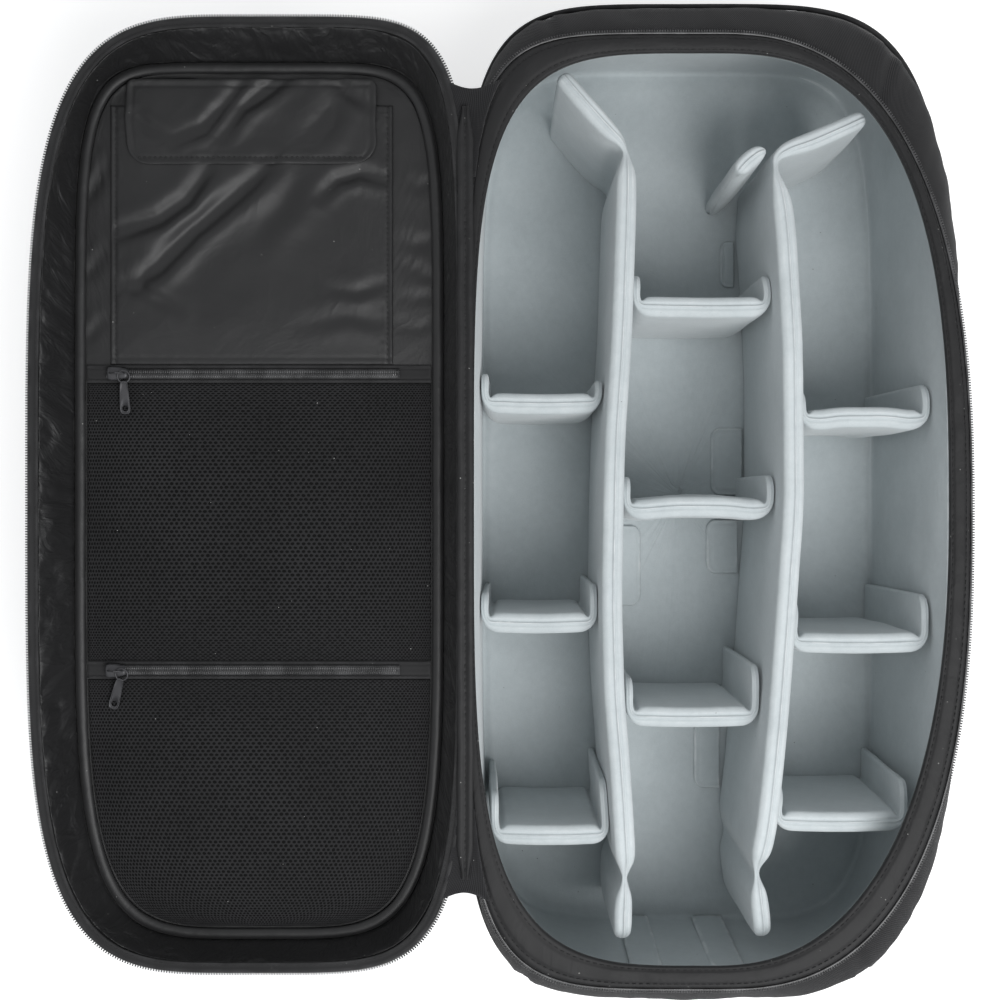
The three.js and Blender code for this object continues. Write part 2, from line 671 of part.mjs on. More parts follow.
function buildLongDividers() {
  for (const [name, path] of [['divider_left', LEFT_DIVIDER_PATH], ['divider_right', RIGHT_DIVIDER_PATH]]) {
    const stations = path.map(({ along, across, pad, rise }) => (
      plainStation(floorX(across), floorY(along), pad * DIVIDER_THICK, rise * INNER_DEPTH)));
    addPiece(name, paddedWall(stations), GREY_TRICOT);
  }
  for (const { name, from, to, rise } of DIVIDER_FLAPS) {
    const rows = [
      { share: 0, thick: HINGE_SEAM_THICK },
      { share: 0.18, thick: DIVIDER_THICK * 0.8 },
      { share: 0.55, thick: DIVIDER_THICK * 0.9 },
      { share: 1, thick: DIVIDER_THICK * 0.8 },
    ];
    const stations = rows.map(({ share, thick }) => {
      const along = from[0] + share * (to[0] - from[0]);
      const across = from[1] + share * (to[1] - from[1]);
      return plainStation(floorX(across), floorY(along), thick, rise * INNER_DEPTH);
    });
    addPiece(name, paddedWall(stations), GREY_TRICOT);
  }
}

// What bounds each column on its left and right at a place along and a height
const COLUMN_BOUNDS = {
  left: {
    low: (y, z) => liningX(-1, y, z) + LINING_CLEAR,
    high: (y) => pathX(LEFT_DIVIDER_PATH, y) - DIVIDER_THICK / 2 - DIVIDER_CLEAR,
  },
  middle: {
    low: (y) => pathX(LEFT_DIVIDER_PATH, y) + DIVIDER_THICK / 2 + DIVIDER_CLEAR,
    high: (y) => pathX(RIGHT_DIVIDER_PATH, y) - DIVIDER_THICK / 2 - DIVIDER_CLEAR,
  },
  right: {
    low: (y) => pathX(RIGHT_DIVIDER_PATH, y) + DIVIDER_THICK / 2 + DIVIDER_CLEAR,
    high: (y, z) => liningX(1, y, z) - LINING_CLEAR,
  },
};

function buildCrossDividers() {
  const height = CROSS_RISE * INNER_DEPTH;
  const headZ = FLOOR + height;
  const halfTab = TAB_THICK / 2;
  for (const { name, column, along, tabs, bow } of CROSS_DIVIDERS) {
    const { low, high } = COLUMN_BOUNDS[column];
    const y = floorY(along);
    const [tabLow, tabHigh] = tabs;
    const corner = TAB_TURN + halfTab;
    const rows = [
      { end: 'low', step: halfTab, north: tabLow, thick: TAB_THICK },
      { end: 'low', step: halfTab, north: TAB_TURN, thick: TAB_THICK },
      { end: 'low', step: halfTab + TAB_TURN * 0.4, north: 0, thick: TAB_THICK },
      { end: 'low', step: corner + TAB_TURN, north: 0, thick: DIVIDER_THICK * 0.9 },
      { end: 'middle', step: 0, north: bow, thick: DIVIDER_THICK },
      { end: 'high', step: corner + TAB_TURN, north: 0, thick: DIVIDER_THICK * 0.9 },
      { end: 'high', step: halfTab + TAB_TURN * 0.4, north: 0, thick: TAB_THICK },
      { end: 'high', step: halfTab, north: TAB_TURN, thick: TAB_THICK },
      { end: 'high', step: halfTab, north: tabHigh, thick: TAB_THICK },
    ];
    const place = ({ end, step }, at, z) => {
      const lowEdge = Math.max(low(at, z), low(y, z));
      const highEdge = Math.min(high(at, z), high(y, z));
      if (end === 'low') return lowEdge + step;
      if (end === 'high') return highEdge - step;
      return (lowEdge + highEdge) / 2;
    };
    const stations = rows.map((row) => {
      const at = y + row.north;
      return {
        foot: new THREE.Vector2(place(row, at, FLOOR), at),
        head: new THREE.Vector2(place(row, at, headZ), at),
        thick: row.thick,
        height,
      };
    });
    addPiece(name, paddedWall(stations), GREY_TRICOT);
  }
}

function buildFlanges() {
  for (const { name, path, side, from, to, reach } of FLOOR_FLANGES) {
    const bottom = floorY(from);
    const top = floorY(to);
    const steps = [0, 0.25, 0.5, 0.75, 1].map((share) => bottom + share * (top - bottom));
    const faces = steps.map((y) => pathX(path, y) + side * (DIVIDER_THICK / 2 + DIVIDER_CLEAR));
    const near = side > 0 ? Math.max(...faces) : Math.min(...faces);
    const far = near + side * reach;
    const round = Math.min(FLANGE_ROUND, reach * 0.6);
    const radii = side > 0 ? [0, round, round, 0] : [round, 0, 0, round];
    addPiece(
      name,
      roundedPlate(Math.min(near, far), Math.max(near, far), bottom, top, radii, FLOOR + GAP, FLANGE_THICK),
      GREY_TRICOT);
  }
  buildWallTab('wall_tab_left', floorX(DIVIDER_FLAPS[1].to[1]), 1);
  buildWallTab('wall_tab_right', floorX(DIVIDER_FLAPS[3].to[1]), -1);
}

// A thin hook tab on the bottom wall beside the free end of a long divider's bottom flap
function buildWallTab(name, flapX, side) {
  const near = flapX + side * (DIVIDER_THICK / 2 + DIVIDER_CLEAR);
  const far = near + side * WALL_TAB_WIDTH;
  const footZ = FLOOR + GAP;
  const headZ = SHOULDER - GAP;
  const rows = [
    { x: near, y: LINING_FLOOR_BOTTOM, z: footZ },
    { x: far, y: LINING_FLOOR_BOTTOM, z: footZ },
    { x: far, y: LINING_MID_BOTTOM, z: headZ },
    { x: near, y: LINING_MID_BOTTOM, z: headZ },
  ];
  const inner = rows.map(({ x, y, z }) => new THREE.Vector3(x, y + LINING_CLEAR, z));
  const outer = rows.map(({ x, y, z }) => new THREE.Vector3(x, y + LINING_CLEAR + FLANGE_THICK, z));
  addPiece(name, skin([inner, outer], false), GREY_TRICOT);
}

// Lid: tray, binding, teeth, inner piping and panel

function buildLid() {
  const lidRightWall = (drop) => (drop / SHOULDER_DROP) * (MOUTH_LEFT - BODY_LEFT) + 0.13 * LID_DEPTH * (drop > 0);
  const outer = [
    { outline: insetEach(LID_OUTLINE, 16, 16, 16, 16), z: RIM - LID_DEPTH },
    { outline: insetEach(LID_OUTLINE, 7, 10, 7, 7), z: RIM - LID_DEPTH * 0.86 },
    { outline: insetEach(LID_OUTLINE, 2, lidRightWall(LID_DEPTH * 0.5), 2, 2), z: RIM - LID_DEPTH * 0.5 },
    { outline: LID_OUTLINE, z: RIM },
  ];
  const flare = between(TRAY_OUTLINE, inset(LID_OUTLINE, LID_EDGE), 0.45);
  const inner = [
    { outline: inset(LID_OUTLINE, LID_EDGE), z: RIM },
    { outline: flare, z: RIM - LID_TRAY_DEPTH * 0.55 },
    { outline: TRAY_OUTLINE, z: TRAY_FLOOR },
  ];
  addPiece('lid_shell', skin(sectionRings([...outer, ...inner]), false), BLACK_CORDURA);

  const bindingBase = RIM + GAP;
  const binding = [
    { outline: LID_OUTLINE, z: bindingBase },
    { outline: LID_OUTLINE, z: bindingBase + HINGE_STRIP_THICK },
    { outline: inset(LID_OUTLINE, LID_BINDING), z: bindingBase + HINGE_STRIP_THICK },
    { outline: inset(LID_OUTLINE, LID_BINDING), z: bindingBase },
  ];
  addPiece('lid_binding', skin(sectionRings(binding), true), BLACK_BINDING);
  addPiece('lid_zip_teeth', zipTeeth(LID_OUTLINE, HINGE_BOTTOM, HINGE_TOP, 1), ZIP_COIL);

  const ringOutline = inset(TRAY_OUTLINE, LID_PIPING_RADIUS + GAP);
  const ringHeight = TRAY_FLOOR + GAP + LID_PIPING_RADIUS;
  addPiece('lid_piping', outlineTube(ringOutline, ringHeight, LID_PIPING_RADIUS, 6), BLACK_BINDING);

  const panel = [
    { outline: PANEL_OUTLINE, z: TRAY_FLOOR + GAP },
    { outline: PANEL_OUTLINE, z: PANEL_TOP },
  ];
  addPiece('lid_panel', skin(sectionRings(panel), false), BLACK_NYLON);
}

const PANEL_OUTLINE = inset(TRAY_OUTLINE, 2 * (LID_PIPING_RADIUS + GAP));
const PANEL_TOP = TRAY_FLOOR + GAP + LID_PANEL_THICK;
const POCKET_OUTLINE = inset(PANEL_OUTLINE, POCKET_MARGIN);
const POCKET_BASE = PANEL_TOP + GAP;
const TAPE_TOP = POCKET_BASE + ZIP_TAPE_THICK;

// Lid pockets: sleeve with its flap, two zip strips with chains, two mesh panels

function buildPockets() {
  const panelLeft = PANEL_OUTLINE.cx - PANEL_OUTLINE.a;
  const panelRight = PANEL_OUTLINE.cx + PANEL_OUTLINE.a;
  const sleeveLeft = panelLeft + SLEEVE_LEFT_INSET;
  const sleeveRight = panelRight - SLEEVE_RIGHT_INSET;
  const sleeveBottom = UPPER_ZIP_TOP + GAP;
  addPiece(
    'sleeve_panel',
    roundedPlate(sleeveLeft, sleeveRight, sleeveBottom, SLEEVE_TOP, [0, 0, 3, 3], POCKET_BASE, SLEEVE_THICK),
    BLACK_NYLON);
  const flapRadii = [FLAP_ROUND, FLAP_ROUND, 5, 5];
  const flapLeft = sleeveLeft + FLAP_INSET;
  const flapRight = sleeveRight - FLAP_INSET;
  const flapBase = POCKET_BASE + SLEEVE_THICK + GAP;
  addPiece(
    'sleeve_flap',
    roundedPlate(flapLeft, flapRight, FLAP_BOTTOM, FLAP_TOP, flapRadii, flapBase, FLAP_THICK),
    BLACK_NYLON);

  const rows = [
    { label: 'upper', top: UPPER_ZIP_TOP, meshBottom: LOWER_ZIP_TOP + GAP, meshSteps: 3 },
    { label: 'lower', top: LOWER_ZIP_TOP, meshBottom: POCKET_OUTLINE.cy - POCKET_OUTLINE.b, meshSteps: 14 },
  ];
  for (const { label, top, meshBottom, meshSteps } of rows) {
    const tapeBottom = top - ZIP_TAPE_WIDTH;
    const tape = outlineBand(POCKET_OUTLINE, tapeBottom, top, 1);
    addPiece(`zip_tape_${label}`, plate(tape, POCKET_BASE, ZIP_TAPE_THICK), BLACK_NYLON);
    const mesh = outlineBand(POCKET_OUTLINE, meshBottom, tapeBottom - GAP, meshSteps);
    addPiece(`mesh_pocket_${label}`, plate(mesh, POCKET_BASE, MESH_THICK), BLACK_MESH);
    const chainY = top - ZIP_TAPE_WIDTH / 2;
    const chain = new THREE.BoxGeometry(
      panelRight - panelLeft - CHAIN_START_INSET - CHAIN_END_INSET, CHAIN_WIDTH, CHAIN_THICK);
    const chainPiece = addPiece(`zip_chain_${label}`, chain, ZIP_COIL);
    const chainMiddle = (panelLeft + CHAIN_START_INSET + panelRight - CHAIN_END_INSET) / 2;
    chainPiece.position.set(chainMiddle, chainY, TAPE_TOP + GAP + CHAIN_THICK / 2);
  }
  const chainStart = panelLeft + CHAIN_START_INSET;
  buildSlider('upper', chainStart + UPPER_SLIDER_INSET, UPPER_ZIP_TOP - ZIP_TAPE_WIDTH / 2, 0);
  buildSlider('lower', chainStart + LOWER_SLIDER_INSET, LOWER_ZIP_TOP - ZIP_TAPE_WIDTH / 2, LOWER_PULL_SWING);
}

// Slider and pull. The slider stands over the chain with an arch along X. One side of the pull's ring
// passes under the arch, and the pull lies towards -Y with its tip on the mesh.

function toManifold(geometry) {
  const bare = geometry.clone();
  bare.deleteAttribute('normal');
  bare.deleteAttribute('uv');
  const merged = mergeVertices(bare);
  return new wasm.Manifold(new wasm.Mesh({
    numProp: 3,
    vertProperties: new Float32Array(merged.attributes.position.array),
    triVerts: new Uint32Array(merged.index.array),
  }));
}

function fromManifold(solid) {
  const { vertProperties, triVerts } = solid.getMesh();
  const geometry = new THREE.BufferGeometry();
  geometry.setAttribute('position', new THREE.BufferAttribute(new Float32Array(vertProperties), 3));
  geometry.setIndex(Array.from(triVerts));
  return geometry;
}

function buildSlider(label, x, y, swing) {
  const halfInside = CHAIN_WIDTH / 2 + GAP;
  const halfOutside = halfInside + SLIDER_WALL;
  const ceiling = GAP + CHAIN_THICK + GAP;
  const top = ceiling + SLIDER_WALL;
  const profile = new THREE.Shape([
    new THREE.Vector2(-halfOutside, GAP),
    new THREE.Vector2(-halfInside, GAP),
    new THREE.Vector2(-halfInside, ceiling),
    new THREE.Vector2(halfInside, ceiling),
    new THREE.Vector2(halfInside, GAP),
    new THREE.Vector2(halfOutside, GAP),
    new THREE.Vector2(halfOutside, top),
    new THREE.Vector2(-halfOutside, top),
  ]);
  const housing = new THREE.ExtrudeGeometry(profile, { depth: SLIDER_LENGTH, bevelEnabled: false });
  housing.rotateX(Math.PI / 2);
  housing.rotateZ(Math.PI / 2);
  housing.translate(-SLIDER_LENGTH / 2, 0, 0);

  const half = ARCH_LENGTH / 2;
  const archTop = top + ARCH_OPENING + ARCH_BAR;
  const archFoot = top - SLIDER_WALL * 0.5;
  const chamfer = ARCH_LEG * 0.8;
  const archProfile = new THREE.Shape([
    new THREE.Vector2(-half, archFoot),
    new THREE.Vector2(-half + ARCH_LEG, archFoot),
    new THREE.Vector2(-half + ARCH_LEG, archTop - ARCH_BAR),
    new THREE.Vector2(half - ARCH_LEG, archTop - ARCH_BAR),
    new THREE.Vector2(half - ARCH_LEG, archFoot),
    new THREE.Vector2(half, archFoot),
    new THREE.Vector2(half, archTop - chamfer),
    new THREE.Vector2(half - chamfer, archTop),
    new THREE.Vector2(-half + chamfer, archTop),
    new THREE.Vector2(-half, archTop - chamfer),
  ]);
  const arch = new THREE.ExtrudeGeometry(archProfile, { depth: ARCH_WIDTH, bevelEnabled: false });
  arch.rotateX(Math.PI / 2);
  arch.translate(0, ARCH_WIDTH / 2, 0);
  const slider = addPiece(`zip_slider_${label}`, fromManifold(toManifold(housing).add(toManifold(arch))), GUNMETAL);
  slider.position.set(x, y, TAPE_TOP);

  const ringCentreX = half - ARCH_LEG / 2;
  const outline = new THREE.Shape();
  const neck = Math.asin((PULL_WIDTH * 0.3) / PULL_RING_RADIUS);
  const tipCentre = -PULL_LENGTH + PULL_RING_RADIUS + PULL_WIDTH / 2;
  outline.absarc(0, 0, PULL_RING_RADIUS, -Math.PI / 2 + neck, Math.PI * 1.5 - neck, false);
  outline.lineTo(-PULL_WIDTH / 2, -PULL_RING_RADIUS - PULL_WIDTH * 0.6);
  outline.lineTo(-PULL_WIDTH / 2, tipCentre);
  outline.absarc(0, tipCentre, PULL_WIDTH / 2, Math.PI, Math.PI * 2, false);
  outline.lineTo(PULL_WIDTH / 2, -PULL_RING_RADIUS - PULL_WIDTH * 0.6);
  const eye = new THREE.Path().absarc(0, 0, PULL_EYE_RADIUS, 0, Math.PI * 2, true);
  const hole = new THREE.Path().absarc(0, tipCentre, PULL_HOLE_RADIUS, 0, Math.PI * 2, true);
  outline.holes.push(eye, hole);
  const pull = new THREE.ExtrudeGeometry(outline, { depth: PULL_THICK, bevelEnabled: false, curveSegments: 8 });
  pull.translate(0, -PULL_RING_SETBACK, -PULL_THICK / 2);

  const axisHeight = TAPE_TOP + top + ARCH_OPENING / 2;
  const tipHeight = POCKET_BASE + MESH_THICK + GAP + PULL_THICK / 2;
  const reach = PULL_LENGTH - PULL_RING_RADIUS + PULL_RING_SETBACK;
  const tilt = new THREE.Group();
  tilt.position.set(x + ringCentreX + PULL_RING_SETBACK * Math.sin(swing), y, axisHeight);
  tilt.rotation.set(Math.asin((axisHeight - tipHeight) / reach), 0, -swing, 'ZYX');
  bag.add(tilt);
  addPiece(`zip_pull_${label}`, pull, GUNMETAL, tilt);
}

// Hinge strip: the cloth that joins the lid's edge to the body's rim

function buildHinge() {
  const base = RIM + GAP + HINGE_STRIP_THICK + GAP;
  const rows = [
    { y: HINGE_BOTTOM, reach: 0.6 },
    { y: HINGE_BOTTOM * 0.9, reach: 1 },
    { y: HINGE_TOP * 0.9, reach: 1 },
    { y: HINGE_TOP, reach: 0.6 },
  ];
  const stations = rows.map(({ y, reach }) => [
    new THREE.Vector3(HINGE_X - reach * HINGE_STRIP_REACH, y, base),
    new THREE.Vector3(HINGE_X + reach * HINGE_STRIP_OVERLAP, y, base),
    new THREE.Vector3(HINGE_X + reach * HINGE_STRIP_OVERLAP, y, base + HINGE_STRIP_THICK),
    new THREE.Vector3(HINGE_X - reach * HINGE_STRIP_REACH, y, base + HINGE_STRIP_THICK),
  ]);
  addPiece('hinge_strip', skin(stations, false), BLACK_NYLON);
}

buildHarness();
buildBody();
buildLongDividers();
buildCrossDividers();
buildFlanges();
buildLid();
buildPockets();
buildHinge();

// The origin is the centre of the bag's footprint, on the surface that it lies on
const bounds = new THREE.Box3().setFromObject(bag);
const middleOfBag = bounds.getCenter(new THREE.Vector3());
bag.position.set(-middleOfBag.x, -middleOfBag.y, -bounds.min.z);

export default bag;
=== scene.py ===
"""Looks of an opened camera backpack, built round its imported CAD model.

The body lies on its harness side with its mouth up, and the lid is opened flat to its left.
Sizes in the tables are in millimetres in the model's own frame; meshes are written in metres.
"""
import logging
import math
from dataclasses import dataclass, field, replace
from enum import Enum
from typing import Callable, Sequence

import bmesh
import bpy
from mathutils import Matrix, Vector, noise


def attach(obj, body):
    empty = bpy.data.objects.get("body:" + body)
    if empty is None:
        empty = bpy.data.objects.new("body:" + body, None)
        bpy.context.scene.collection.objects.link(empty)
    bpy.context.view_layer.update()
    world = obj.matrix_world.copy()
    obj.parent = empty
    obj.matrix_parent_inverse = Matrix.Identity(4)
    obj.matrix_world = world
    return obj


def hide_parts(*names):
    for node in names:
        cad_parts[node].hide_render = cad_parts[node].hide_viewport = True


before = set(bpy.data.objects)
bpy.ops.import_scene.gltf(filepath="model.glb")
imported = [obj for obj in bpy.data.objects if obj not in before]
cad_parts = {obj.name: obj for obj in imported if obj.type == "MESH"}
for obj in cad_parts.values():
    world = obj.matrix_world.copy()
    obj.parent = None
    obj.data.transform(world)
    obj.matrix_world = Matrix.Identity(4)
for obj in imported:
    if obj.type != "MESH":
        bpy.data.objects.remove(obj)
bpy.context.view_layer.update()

LOG = logging.getLogger("backpack")
MM = 0.001
FULL_TURN = 2 * math.pi

Place = Callable[[int, int], Vector]


# Numbers and curves


def smooth(share: float) -> float:
    """Eases a share from 0 to 1 with level ends."""
    share = min(1.0, max(0.0, share))
    return share * share * (3 - 2 * share)


def bell(distance: float, width: float) -> float:
    """Falls from 1 at no distance towards 0 past the width."""
    return math.exp(-((distance / width) ** 2))


def mix(low: float, high: float, share: float) -> float:
    """Goes from low to high with a share."""
    return low + (high - low) * share


def grain(x: float, y: float, z: float = 0.0) -> float:
    """Smooth noise from about -1 to 1, the same at every run."""
    return noise.noise(Vector((x, y, z)))


def ridged(x: float, y: float, z: float = 0.0) -> float:
    """Noise with sharp valleys, from about -1 at a valley to 0."""
    return -abs(1 - 2.2 * abs(grain(x, y, z)))


def spline(rows: Sequence[Sequence[float]], share: float) -> list[float]:
    """Reads a table of numbers as one smooth curve.

    Args:
        rows: Rows of equal length, evenly spread over the curve.
        share: Place on the curve from 0 to 1.

    Returns:
        The row of numbers at that place.
    """
    last = len(rows) - 1
    at = min(max(share, 0.0), 1.0) * last
    k = min(int(at), last - 1)
    t = at - k
    p0, p1, p2, p3 = rows[max(k - 1, 0)], rows[k], rows[k + 1], rows[min(k + 2, last)]
    out = []
    for a, b, c, d in zip(p0, p1, p2, p3):
        curve = (2 * a - 5 * b + 4 * c - d) * t * t
        out.append(0.5 * (2 * b + (c - a) * t + curve + (3 * b - a - 3 * c + d) * t ** 3))
    return out


@dataclass(frozen=True)
class Outline:
    """A rounded outline in plan: a superellipse with its own roundness in each quarter."""

    left: float
    right: float
    bottom: float
    top: float
    corners: tuple[float, float, float, float]

    @property
    def cx(self) -> float:
        """Middle of the outline in X."""
        return (self.left + self.right) / 2

    @property
    def cy(self) -> float:
        """Middle of the outline in Y."""
        return (self.bottom + self.top) / 2

    def power(self, rightward: bool, upward: bool) -> float:
        """Roundness of one quarter: 2 is an ellipse, higher is squarer."""
        ne, nw, sw, se = self.corners
        if rightward:
            return ne if upward else se
        return nw if upward else sw

    def point(self, angle: float) -> Vector:
        """Point of the outline in the direction of an angle about its middle."""
        c = math.cos(angle)
        s = math.sin(angle)
        n = self.power(c >= 0, s >= 0)
        a = (self.right - self.left) / 2
        b = (self.top - self.bottom) / 2
        r = (abs(c / a) ** n + abs(s / b) ** n) ** (-1 / n)
        return Vector((self.cx + r * c, self.cy + r * s))

    def side_x(self, side: int, y: float) -> float:
        """X of the outline's left (-1) or right (1) side at a height in Y."""
        n = self.power(side > 0, y >= self.cy)
        b = (self.top - self.bottom) / 2
        share = min(1.0, abs(y - self.cy) / b)
        return self.cx + side * (self.right - self.left) / 2 * (1 - share ** n) ** (1 / n)

    def inset(self, left: float, right: float | None = None, bottom: float | None = None,
              top: float | None = None) -> "Outline":
        """Moves the edges inwards.

        Args:
            left: Inset of the left edge, and of every edge that isn't given.
            right: Inset of the right edge.
            bottom: Inset of the bottom edge.
            top: Inset of the top edge.

        Returns:
            The smaller outline.
        """
        right = left if right is None else right
        bottom = left if bottom is None else bottom
        top = left if top is None else top
        return replace(self, left=self.left + left, right=self.right - right,
                       bottom=self.bottom + bottom, top=self.top - top)

    def blended(self, other: "Outline", share: float) -> "Outline":
        """Goes from this outline to another with a share."""
        corners = tuple(mix(p, q, share) for p, q in zip(self.corners, other.corners))
        return Outline(mix(self.left, other.left, share), mix(self.right, other.right, share),
                       mix(self.bottom, other.bottom, share), mix(self.top, other.top, share), corners)

    def shrunk(self, share: float) -> "Outline":
        """Scales the outline about its middle."""
        half_x = (self.right - self.left) / 2 * share
        half_y = (self.top - self.bottom) / 2 * share
        return Outline(self.cx - half_x, self.cx + half_x, self.cy - half_y, self.cy + half_y, self.corners)

    def walk(self, count: int, steps: int = 3000) -> tuple[list[float], float]:
        """Spreads angles evenly along the outline's length.

        Args:
            count: Number of angles.
            steps: Fineness of the measuring.

        Returns:
            The angles, and the outline's whole length.
        """
        reach = [0.0]
        last = self.point(0.0)
        for k in range(1, steps + 1):
            here = self.point(k / steps * FULL_TURN)
            reach.append(reach[-1] + (here - last).length)
            last = here
        angles = []
        k = 0
        for i in range(count):
            target = i / count * reach[-1]
            while reach[k + 1] < target:
                k += 1
            part = (target - reach[k]) / (reach[k + 1] - reach[k])
            angles.append((k + part) / steps * FULL_TURN)
        return angles, reach[-1]

    def normal(self, angle: float) -> Vector:
        """Outward direction of the outline in plan at an angle."""
        ahead = self.point(angle + 0.002) - self.point(angle - 0.002)
        return Vector((ahead.y, -ahead.x)).normalized()


@dataclass(frozen=True)
class Section:
    """An outline at a height."""

    outline: Outline
    z: float


def between_sections(rows: Sequence[Section], count: int) -> list[Section]:
    """Adds evenly spread sections between the given ones.

    Args:
        rows: The sections that the surface passes.
        count: Steps between each two of them.

    Returns:
        All sections in order.
    """
    out = []
    for here, ahead in zip(rows, rows[1:]):
        for k in range(count):
            share = k / count
            out.append(Section(here.outline.blended(ahead.outline, share), mix(here.z, ahead.z, share)))
    out.append(rows[-1])
    return out


# Meshes


def finish_mesh(bm: bmesh.types.BMesh, name: str, closed: bool) -> bpy.types.Object:
    """Writes a bmesh as an object of the scene.

    Args:
        bm: The mesh, in metres.
        name: Name of the piece.
        closed: Whether the mesh encloses a space, so its normals can be worked out.

    Returns:
        The new object, at the origin.
    """
    if closed:
        bmesh.ops.recalc_face_normals(bm, faces=bm.faces)
    elif sum(face.normal.z * face.calc_area() for face in bm.faces) < 0:
        bmesh.ops.reverse_faces(bm, faces=bm.faces)
    for face in bm.faces:
        face.smooth = True
    mesh = bpy.data.meshes.new(name)
    bm.to_mesh(mesh)
    bm.free()
    piece = bpy.data.objects.new(name, mesh)
    bpy.context.scene.collection.objects.link(piece)
    return piece


def add_grid(bm: bmesh.types.BMesh, columns: int, rows: int, place: Place, step: tuple[float, float],
             round_columns: bool = False, round_rows: bool = False, caps: bool = False) -> None:
    """Adds a grid of faces whose corners are put in place one by one.

    Args:
        bm: The mesh that takes the grid.
        columns: Faces across.
        rows: Faces along.
        place: Gives the place in millimetres of a column and a row.
        step: Width and length of one face on the piece's UV map, in metres.
        round_columns: Whether the last column joins the first.
        round_rows: Whether the last row joins the first.
        caps: Whether open ends are closed with a face.
    """
    made = bmesh.ops.create_grid(bm, x_segments=columns, y_segments=rows, size=0.5)["verts"]
    uv = bm.loops.layers.uv.verify()
    cells = {}
    for vert in made:
        cells[vert] = (round((vert.co.x + 0.5) * columns), round((vert.co.y + 0.5) * rows))
    faces = {face for vert in made for face in vert.link_faces}
    for face in faces:
        for loop in face.loops:
            i, j = cells[loop.vert]
            loop[uv].uv = (i * step[0], j * step[1])
    for vert, (i, j) in cells.items():
        column = i % columns if round_columns else i
        row = j % rows if round_rows else j
        vert.co = place(column, row) * MM
    if round_columns or round_rows:
        bmesh.ops.remove_doubles(bm, verts=made, dist=1e-7)
    if caps:
        edges = {edge for vert in made if vert.is_valid for edge in vert.link_edges if edge.is_boundary}
        bmesh.ops.holes_fill(bm, edges=list(edges), sides=0)


def add_bead(bm: bmesh.types.BMesh, at: Vector, along: Vector, up: Vector, size: Vector, fine: bool = False) -> None:
    """Adds one small rounded bar, such as a zip tooth or a stitch.

    Args:
        bm: The mesh that takes it.
        at: Its middle, in millimetres.
        along: Direction of its length.
        up: Direction of its height.
        size: Half of its length, width and height, in millimetres.
        fine: Whether it gets more faces.
    """
    x = along.normalized()
    y = up.cross(x).normalized()
    z = x.cross(y)
    turn = Matrix((x, y, z)).transposed().to_4x4()
    matrix = Matrix.Translation(at * MM) @ turn @ Matrix.Diagonal((*(size * MM), 1))
    if fine:
        bmesh.ops.create_uvsphere(bm, u_segments=8, v_segments=6, radius=1, matrix=matrix)
    else:
        bmesh.ops.create_icosphere(bm, subdivisions=1, radius=1, matrix=matrix)


def add_stitches(bm: bmesh.types.BMesh, points: Sequence[Vector], ups: Sequence[Vector],
                 length: float = 3.0, gap: float = 1.0, radius: float = 0.28) -> None:
    """Sews a line of stitches along points.

    Args:
        bm: The mesh that takes them.
        points: The line, in millimetres.
        ups: The cloth's outward direction at each point.
        length: Length of a stitch.
        gap: Space between stitches.
        radius: Half of the thread's thickness.
    """
    reach = 0.0
    due = length / 2
    for k in range(1, len(points)):
        run = points[k] - points[k - 1]
        span = run.length
        while span > 0 and reach + span >= due:
            share = (due - reach) / span
            at = points[k - 1].lerp(points[k], share)
            add_bead(bm, at, run, ups[k], Vector((length / 2, radius, radius)))
            due += length + gap
        reach += span


def add_skin(bm: bmesh.types.BMesh, sections: Sequence[Section], angles: Sequence[float], length: float,
             relief: Callable[[int, int, Vector], Vector] | None = None, joined: bool = False,
             caps: bool = True, pitch: float = 4.0) -> None:
    """Adds a skin over a stack of outlines.

    Args:
        bm: The mesh that takes the skin.
        sections: Outlines in order.
        angles: Directions of the columns.
        length: Length of the outline, for the UV map.
        relief: Moves the point of a column and a row.
        joined: Whether the last section joins the first.
        caps: Whether the end sections are closed.
        pitch: Length of one row on the UV map, in millimetres.
    """
    columns = len(angles)

    def place(i: int, j: int) -> Vector:
        """Point of a column and a section."""
        flat = sections[j].outline.point(angles[i])
        point = Vector((flat.x, flat.y, sections[j].z))
        return relief(i, j, point) if relief else point

    rows = len(sections) if joined else len(sections) - 1
    add_grid(bm, columns, rows, place, (length / columns * MM, pitch * MM), True, joined, caps and not joined)


def add_subdivision(piece: bpy.types.Object, levels: int = 1) -> None:
    """Adds a Subdivision Surface of equal levels in view and render."""
    modifier = piece.modifiers.new("round", "SUBSURF")
    modifier.levels = levels
    modifier.render_levels = levels
    modifier.use_limit_surface = False


def add_thickness(piece: bpy.types.Object, thick: float, offset: float = 1.0) -> None:
    """Gives a sheet its thickness in millimetres, to its front (1) or back (-1)."""
    modifier = piece.modifiers.new("thick", "SOLIDIFY")
    modifier.thickness = thick * MM
    modifier.offset = offset
    modifier.use_even_offset = False


# Shader node groups and finishes


